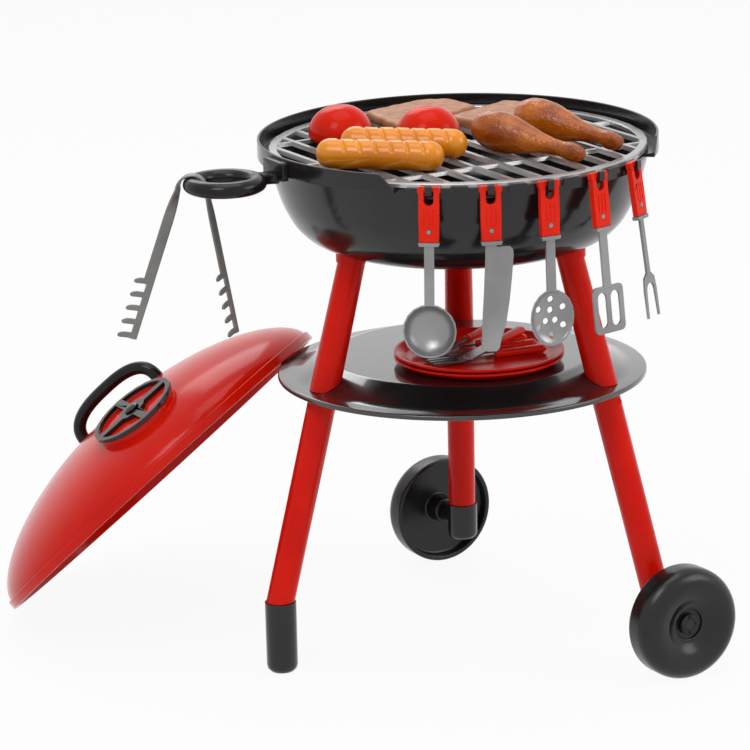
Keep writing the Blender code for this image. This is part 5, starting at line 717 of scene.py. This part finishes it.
def sausage(number):
    """A capsule along x. Its radius dips by depth x exp(-(d/width)^2) where d is the distance to the nearest
    slash, and only on the upper side."""
    low, high = corners_of(f"sausage_{number}")
    straight = SAUSAGE_LENGTH / 2 - SAUSAGE_RADIUS
    end = np.linspace(0, math.pi / 2, 14)
    x = np.concatenate([
        -straight - SAUSAGE_RADIUS * np.cos(end), np.linspace(-straight, straight, SAUSAGE_STEPS)[1:-1],
        straight + SAUSAGE_RADIUS * np.cos(end[::-1])])
    r = np.concatenate([SAUSAGE_RADIUS * np.sin(end), np.full(SAUSAGE_STEPS - 2, SAUSAGE_RADIUS),
                        SAUSAGE_RADIUS * np.sin(end[::-1])])
    a = np.linspace(0, 2 * math.pi, 72, endpoint=False)[:, None]
    y, z = r * np.cos(a), r * np.sin(a)
    x = np.broadcast_to(x, y.shape)
    slash_at = (np.arange(SLASHES) - (SLASHES - 1) / 2) * SLASH_PITCH
    away = (x[..., None] - slash_at) * math.cos(SLASH_TURN) + y[..., None] * math.sin(SLASH_TURN)
    dip = np.exp(-(away / SLASH_WIDTH) ** 2).sum(-1) * np.clip(z / SAUSAGE_RADIUS - 0.25, 0, 0.5) * 2
    shrink = 1 - dip * SLASH_DEPTH / SAUSAGE_RADIUS
    wave = 1 - 0.01 * (1 - np.cos(3 * x / SAUSAGE_LENGTH * 2 * math.pi + a))
    local = np.stack([x, y * shrink * wave, z * shrink * wave], -1)
    c, s = math.cos(SAUSAGE_TURN), math.sin(SAUSAGE_TURN)
    turned = local @ np.array([(c, -s, 0), (s, c, 0), (0, 0, 1)]).T
    return dress(surface(f"sausage_link_{number}", turned + (low + high) / 2, sharp=60),
                 f"sausage_{number}", sausage_brown)


for number in (1, 2):
    sausage(number)
print("slashes on a sausage:", SLASHES)

# %% Steaks
STEAK_SHARES = (
    ((-0.106, 0.792), (0.310, 0.892), (0.444, 0.809), (0.460, 0.559), (-0.145, 0.303)),
    ((0.199, 0.415), (0.677, 0.603), (0.799, 0.303), (0.255, 0.115)))
GRATE_RADIUS, STEAK_THICKNESS, STEAK_CORNER, STEAK_WAVE = 180 * MM, 9.5 * MM, 5 * MM, 0.35 * MM
CROWN_SHARE, CROWN_POWER = 0.28, 36


def steak(number, shares):
    """A slab: rings of its rounded outline, shrunk towards the middle. The top rises to a low crown with
    gentle waves, z = T (1 - 0.28 s^36) for the share s of the way out, and the underside is flat."""
    low = next(corners_of(f"steak_{number}"))
    corners = np.array(shares) * GRATE_RADIUS
    order = np.argsort(np.arctan2(*(corners - corners.mean(0)).T[::-1]))
    outline = soften(corners[order] - corners.mean(0), STEAK_CORNER, steps=8, closed=True)
    close = np.vstack([outline, outline[:1]])
    run = np.concatenate([[0], np.cumsum(np.linalg.norm(np.diff(close, axis=0), axis=1))])
    even_run = np.linspace(0, run[-1], 160, endpoint=False)
    ring = np.stack([np.interp(even_run, run, close[:, k]) for k in (0, 1)], 1)
    s_top = np.concatenate([np.linspace(0, 0.9, 26), np.linspace(0.91, 1, 14)])
    level = STEAK_THICKNESS * (1 - CROWN_SHARE * s_top ** CROWN_POWER)
    s = np.concatenate([s_top, [1.0, 0.985, 0.9, 0.5, 0]])
    z = np.concatenate([level, [0.15 * STEAK_THICKNESS, 0, 0, 0, 0]])
    x, y = ring[:, :1] * s, ring[:, 1:] * s
    waves = STEAK_WAVE * (np.sin(x * 330 + 1.3 * number) * np.sin(y * 290) - 1)
    waves *= np.arange(len(s)) < len(s_top)
    middle = kettle_axis + np.array([*corners.mean(0), low[2]])
    points = np.stack([x, y, z + waves * np.clip(z / STEAK_THICKNESS, 0, 1)], -1) + middle
    return dress(surface(f"steak_slab_{number}", points, sharp=60), f"steak_{number}", steak_brown)


for number, shares in enumerate(STEAK_SHARES, start=1):
    steak(number, shares)
print("corners of the steaks:", [len(shares) for shares in STEAK_SHARES])

# %% Drumsticks
DRUMSTICK_LENGTH, DRUMSTICK_RADIUS = 126 * MM, 20 * MM
DRUMSTICK_SHARES = np.array([
    (0.0, 0.0), (0.012, 0.36), (0.05, 0.68), (0.13, 0.93), (0.23, 1.0), (0.34, 0.93), (0.47, 0.72),
    (0.60, 0.50), (0.72, 0.38), (0.80, 0.37), (0.86, 0.44), (0.92, 0.45), (0.97, 0.34), (1.0, 0.0)])
BULB_SHARE, KNUCKLE_SHARE, KNOBS_SHARE, CLEAR = 0.23, 0.90, 0.93, 0.05 * MM
DRUMSTICK_TURNS = (math.radians(-66), math.radians(-70))
DRUMSTICK_PLACES = ((-0.023, -0.206), (0.332, -0.063))


def drumstick(number, place, heading):
    """A turned leg whose radius also waves with the angle, r (1 - w (1 - cos)), so it only ever gets thinner
    than the solid, with three knobs at the bone's end. It is tipped until its bulb and its knuckle both rest
    on the grate."""
    along, share_of_radius = soften(DRUMSTICK_SHARES, 0.04, steps=5).T
    a = np.linspace(0, 2 * math.pi, 80, endpoint=False)[:, None]
    lumps = (1 - 0.030 * (1 - np.cos(2 * a + 7 * along)) * np.clip(1 - along, 0, 1)
             - 0.012 * (1 - np.cos(9 * a + 40 * along)) * np.clip(0.7 - along, 0, 1)
             - 0.085 * (1 - np.cos(3 * a)) * np.exp(-((along - KNOBS_SHARE) / 0.05) ** 2))
    r = share_of_radius * DRUMSTICK_RADIUS * lumps
    local = np.stack([np.broadcast_to(along * DRUMSTICK_LENGTH, r.shape), r * np.cos(a), r * np.sin(a)], -1)
    knuckle = np.interp(KNUCKLE_SHARE, *DRUMSTICK_SHARES.T) * DRUMSTICK_RADIUS
    tip = math.asin((DRUMSTICK_RADIUS - knuckle) / ((KNUCKLE_SHARE - BULB_SHARE) * DRUMSTICK_LENGTH))
    low = next(corners_of(f"drumstick_{number}"))
    stand = Matrix.Rotation(heading, 3, "Z") @ Matrix.Rotation(tip, 3, "Y")
    points = local @ np.array(stand).T + kettle_axis + GRATE_RADIUS * np.array((*place, 0))
    points[..., 2] += low[2] + CLEAR - points[..., 2].min()
    return dress(surface(f"drumstick_leg_{number}", points, sharp=60), f"drumstick_{number}", drumstick_brown)


for number, (place, heading) in enumerate(zip(DRUMSTICK_PLACES, DRUMSTICK_TURNS), start=1):
    drumstick(number, place, heading)
print("drumsticks head to, in degrees:", np.degrees(DRUMSTICK_TURNS))

# %% [markdown]
# ## The tongs
# One springy strip, bent over the side handle. Each arm is twisted so that its comb of five fingers points to
# the left. The strip is a flattened section carried along the bent path, and each finger is a smaller section
# carried along a short hook.

# %% The strip's path and twist
STRIP_WIDTH, COMB_WIDTH, STRIP_THICKNESS, BEND_SLACK = 11 * MM, 7 * MM, 2.4 * MM, 3.2 * MM
OUTER_ARM, INNER_ARM, OUTER_LEAN, INNER_LEAN = 149 * MM, 140 * MM, math.radians(19), math.radians(9.5)
OUTER_TWIST, INNER_TWIST, TWIST_RUN = math.radians(66), math.radians(27), 52 * MM
FINGERS, FINGER_PITCH, FINGER_LENGTH, FINGER_HEIGHT, GAP = 5, 13.5 * MM, 13 * MM, 5.6 * MM, 0.2 * MM
FINGER_ROOT, FINGER_TIP_GAP, FINGER_BEND, COMB_RUN = 1.2 * MM, 1.2 * MM, 1.6 * MM, 3 * MM
STRIP_HEADING = math.radians(150.5) + math.pi

bend = TUBE_WIDTH / 2 + GAP + STRIP_THICKNESS / 2 + BEND_SLACK
bend_middle = np.array((-LOOP_RADIUS, TUBE_HEIGHT / 2 + GAP + STRIP_THICKNESS / 2 - bend))
turn = np.linspace(math.pi, 0, 33)
over = bend_middle + bend * np.stack([np.cos(turn), np.sin(turn)], 1)
out_way = np.array((-math.sin(OUTER_LEAN), -math.cos(OUTER_LEAN)))
in_way = np.array((math.sin(INNER_LEAN), -math.cos(INNER_LEAN)))
path = np.vstack([
    over[0] + np.linspace(OUTER_ARM, 0, 61)[:-1, None] * out_way, over,
    over[-1] + np.linspace(0, INNER_ARM, 61)[1:, None] * in_way])
run = np.concatenate([[0], np.cumsum(np.linalg.norm(np.diff(path, axis=0), axis=1))])
from_top = run - run[np.argmax(path[:, 1])]
ease = np.clip(np.abs(from_top) / TWIST_RUN, 0, 1)
twist = ease ** 2 * (3 - 2 * ease) * np.where(from_top < 0, OUTER_TWIST, INNER_TWIST)
print("strip length in mm:", round(run[-1] / MM, 1))


# %% The strip and its fingers
def strip_frames():
    """Middle, direction, width direction and face direction at each point of the path, in the strip's frame.
    The width direction is (0, -1, 0), turned about the path by the twist."""
    way = np.gradient(path, axis=0)
    way /= np.linalg.norm(way, axis=1, keepdims=True)
    middle, ahead = (np.stack([v[:, 0], 0 * v[:, 0], v[:, 1]], 1) for v in (path, way))
    across = np.array((0, -1.0, 0))
    side = np.cross(ahead, across)
    turn_to = np.where(from_top < 0, -1.0, 1.0)[:, None]
    width = across * np.cos(twist)[:, None] + side * np.sin(twist)[:, None] * turn_to
    width /= np.linalg.norm(width, axis=1, keepdims=True)
    return middle, ahead, width, np.cross(ahead, width)


def swept(name, middle, width, face, half_width, half_thickness):
    """A flat section with full sides, (w c|c|^-0.6, h s|s|^-0.4) for a cosine c and a sine s, carried along the
    middle line. The first and last sections close on their middle."""
    angle = np.linspace(0, 2 * math.pi, 32, endpoint=False)
    flat, thick = fuller(np.cos(angle), 0.4), fuller(np.sin(angle), 0.6)
    middle, width, face = (np.concatenate([v[:1], v, v[-1:]])[:, None] for v in (middle, width, face))
    w, h = (np.concatenate([[0], np.broadcast_to(v, len(middle) - 2), [0]])[:, None, None]
            for v in (half_width, half_thickness))
    points = middle + width * w * flat[:, None] + face * h * thick[:, None]
    return surface(name, points, around=False, along=True)


def finger(name, root, reach_way, down_way, face_way):
    """A short hook: the middle goes out by L t and bends over past t = 0.4 with the square of the way, and its
    height rounds off at the tip as the square root of 1 - t^10, at steps that crowd towards the tip."""
    t = np.sin(np.linspace(0, math.pi / 2, 34))[:, None]
    middle = root + reach_way * t * (COMB_WIDTH + FINGER_LENGTH - FINGER_TIP_GAP) + down_way * (
        FINGER_HEIGHT / 2 + GAP - FINGER_BEND * np.clip(t - 0.4, 0, 1) ** 2 * 2.5)
    half = FINGER_HEIGHT / 2 * np.sqrt(np.clip(1 - t[:, 0] ** 10, 0.01, 1))
    faces = np.broadcast_to(face_way, middle.shape)
    return swept(name, middle, np.broadcast_to(down_way, middle.shape), faces, half, STRIP_THICKNESS / 2 - GAP)


middle, ahead, width, face = strip_frames()
from_end = np.minimum(run, run[-1] - run)
comb = np.clip((FINGER_PITCH * (FINGERS - 1) + FINGER_HEIGHT - from_end) / COMB_RUN, 0, 1)
left = STRIP_WIDTH / 2 - (STRIP_WIDTH - COMB_WIDTH) * comb ** 2 * (3 - 2 * comb)
offset = (left - STRIP_WIDTH / 2) / 2
strip_pieces = [swept("strip", middle + width * offset[:, None], width, face, (left + STRIP_WIDTH / 2) / 2,
                      STRIP_THICKNESS / 2)]
for end, sign in ((0, 1), (len(path) - 1, -1)):
    for i in range(FINGERS):
        inward = ahead[end] * sign
        root = middle[end] + inward * i * FINGER_PITCH - width[end] * (STRIP_WIDTH / 2 - FINGER_ROOT)
        strip_pieces.append(finger(f"finger_{end}_{i}", root, width[end], inward, face[end]))
strip = joined("tongs_strip", strip_pieces)
place = Matrix.Translation(loop_centre) @ Matrix.Rotation(STRIP_HEADING, 4, "Z")
strip.data.transform(place)
dress(strip, "tongs", tongs_grey)
low, high = corners_of("tongs")
own = points_of(strip)
print("tongs against their solid, in mm:", np.round((own.min(0) - low) / MM, 1),
      np.round((own.max(0) - high) / MM, 1))

# %% [markdown]
# ## Light and ground
# The photograph is a studio one: bright, even light on a white ground. Large soft lamps above, in front and at
# the side give broad highlights, and a weak world fills the shadows. The ground is a plain pale floor whose own
# colour carries the brightness for the camera, while it keeps the object's soft shadow.

# %% Four soft lamps
LAMPS = (("key", (-1.6, -1.2, 2.6), 1.2, 26), ("fill", (1.8, -1.8, 1.6), 1.4, 19),
         ("back", (0.6, 2.2, 2.2), 1.4, 16), ("top", (0.1, 0.0, 2.8), 1.6, 16))
LAMP_TARGET = (axis_x, axis_y, 0.3)


def lamp(name, place, size, power):
    """A square soft lamp that faces the middle of the object."""
    data = bpy.data.lights.new(name, "AREA")
    data.shape = "SQUARE"
    data.size = size
    data.energy = power
    made = add(name, data)
    made.location = place
    made.rotation_euler = (Vector(LAMP_TARGET) - Vector(place)).to_track_quat("-Z", "Y").to_euler()


for row in LAMPS:
    lamp(*row)
print("lamps:", len(LAMPS))

# %% The world, pale to look at and dimmer as a light
WORLD_STRENGTH, WHITE = 0.45, (1, 1, 1, 1)


def seen_or_mirrored(nodes, links):
    """1 for a ray from the camera, from a mirror-like surface or through glass, and 0 for any other."""
    ray_kind = nodes.new("ShaderNodeLightPath")
    total = ray_kind.outputs["Is Camera Ray"]
    for kind in ("Is Glossy Ray", "Is Transmission Ray"):
        most = nodes.new("ShaderNodeMath")
        most.operation = "MAXIMUM"
        links.new(total, most.inputs[0])
        links.new(ray_kind.outputs[kind], most.inputs[1])
        total = most.outputs["Value"]
    return total


world = bpy.data.worlds.new("studio")
world.use_nodes = True
bpy.context.scene.world = world
world_nodes, world_links = world.node_tree.nodes, world.node_tree.links
shine = world_nodes["Background"]
shine.inputs["Color"].default_value = WHITE
shine.inputs["Strength"].default_value = WORLD_STRENGTH
backdrop = world_nodes.new("ShaderNodeBackground")
backdrop.inputs["Color"].default_value = WHITE
backdrop.inputs["Strength"].default_value = 1.0
choice = world_nodes.new("ShaderNodeMixShader")
world_links.new(seen_or_mirrored(world_nodes, world_links), choice.inputs["Fac"])
world_links.new(shine.outputs["Background"], choice.inputs[1])
world_links.new(backdrop.outputs["Background"], choice.inputs[2])
world_links.new(choice.outputs["Shader"], world_nodes["World Output"].inputs["Surface"])
print("world strength:", WORLD_STRENGTH)

# %% The floor, which glows for the camera and takes the shadow
FLOOR_SIZE, FLOOR_GLOW = 8.0, 0.93
corners = np.array([(-1, -1, 0), (1, -1, 0), (1, 1, 0), (-1, 1, 0)], float) * FLOOR_SIZE
floor_mesh = bpy.data.meshes.new("floor")
floor_mesh.from_pydata(corners, [], [(0, 1, 2, 3)])
floor = add("floor", floor_mesh)
floor_paint = bpy.data.materials.new("floor_white")
floor_paint.use_nodes = True
paint_nodes, paint_links = floor_paint.node_tree.nodes, floor_paint.node_tree.links
matt = paint_nodes["Principled BSDF"]
matt.inputs["Base Color"].default_value = (0.82, 0.82, 0.82, 1)
matt.inputs["Roughness"].default_value = 0.9
glow = paint_nodes.new("ShaderNodeEmission")
glow.inputs["Color"].default_value = WHITE
part_of = paint_nodes.new("ShaderNodeMath")
part_of.operation = "MULTIPLY"
part_of.inputs[1].default_value = FLOOR_GLOW
blend = paint_nodes.new("ShaderNodeMixShader")
paint_links.new(seen_or_mirrored(paint_nodes, paint_links), part_of.inputs[0])
paint_links.new(part_of.outputs["Value"], blend.inputs["Fac"])
paint_links.new(matt.outputs["BSDF"], blend.inputs[1])
paint_links.new(glow.outputs["Emission"], blend.inputs[2])
paint_links.new(blend.outputs["Shader"], paint_nodes["Material Output"].inputs["Surface"])
floor_mesh.materials.append(floor_paint)
bpy.context.scene.view_settings.view_transform = "Standard"
print("floor half size in m:", FLOOR_SIZE)
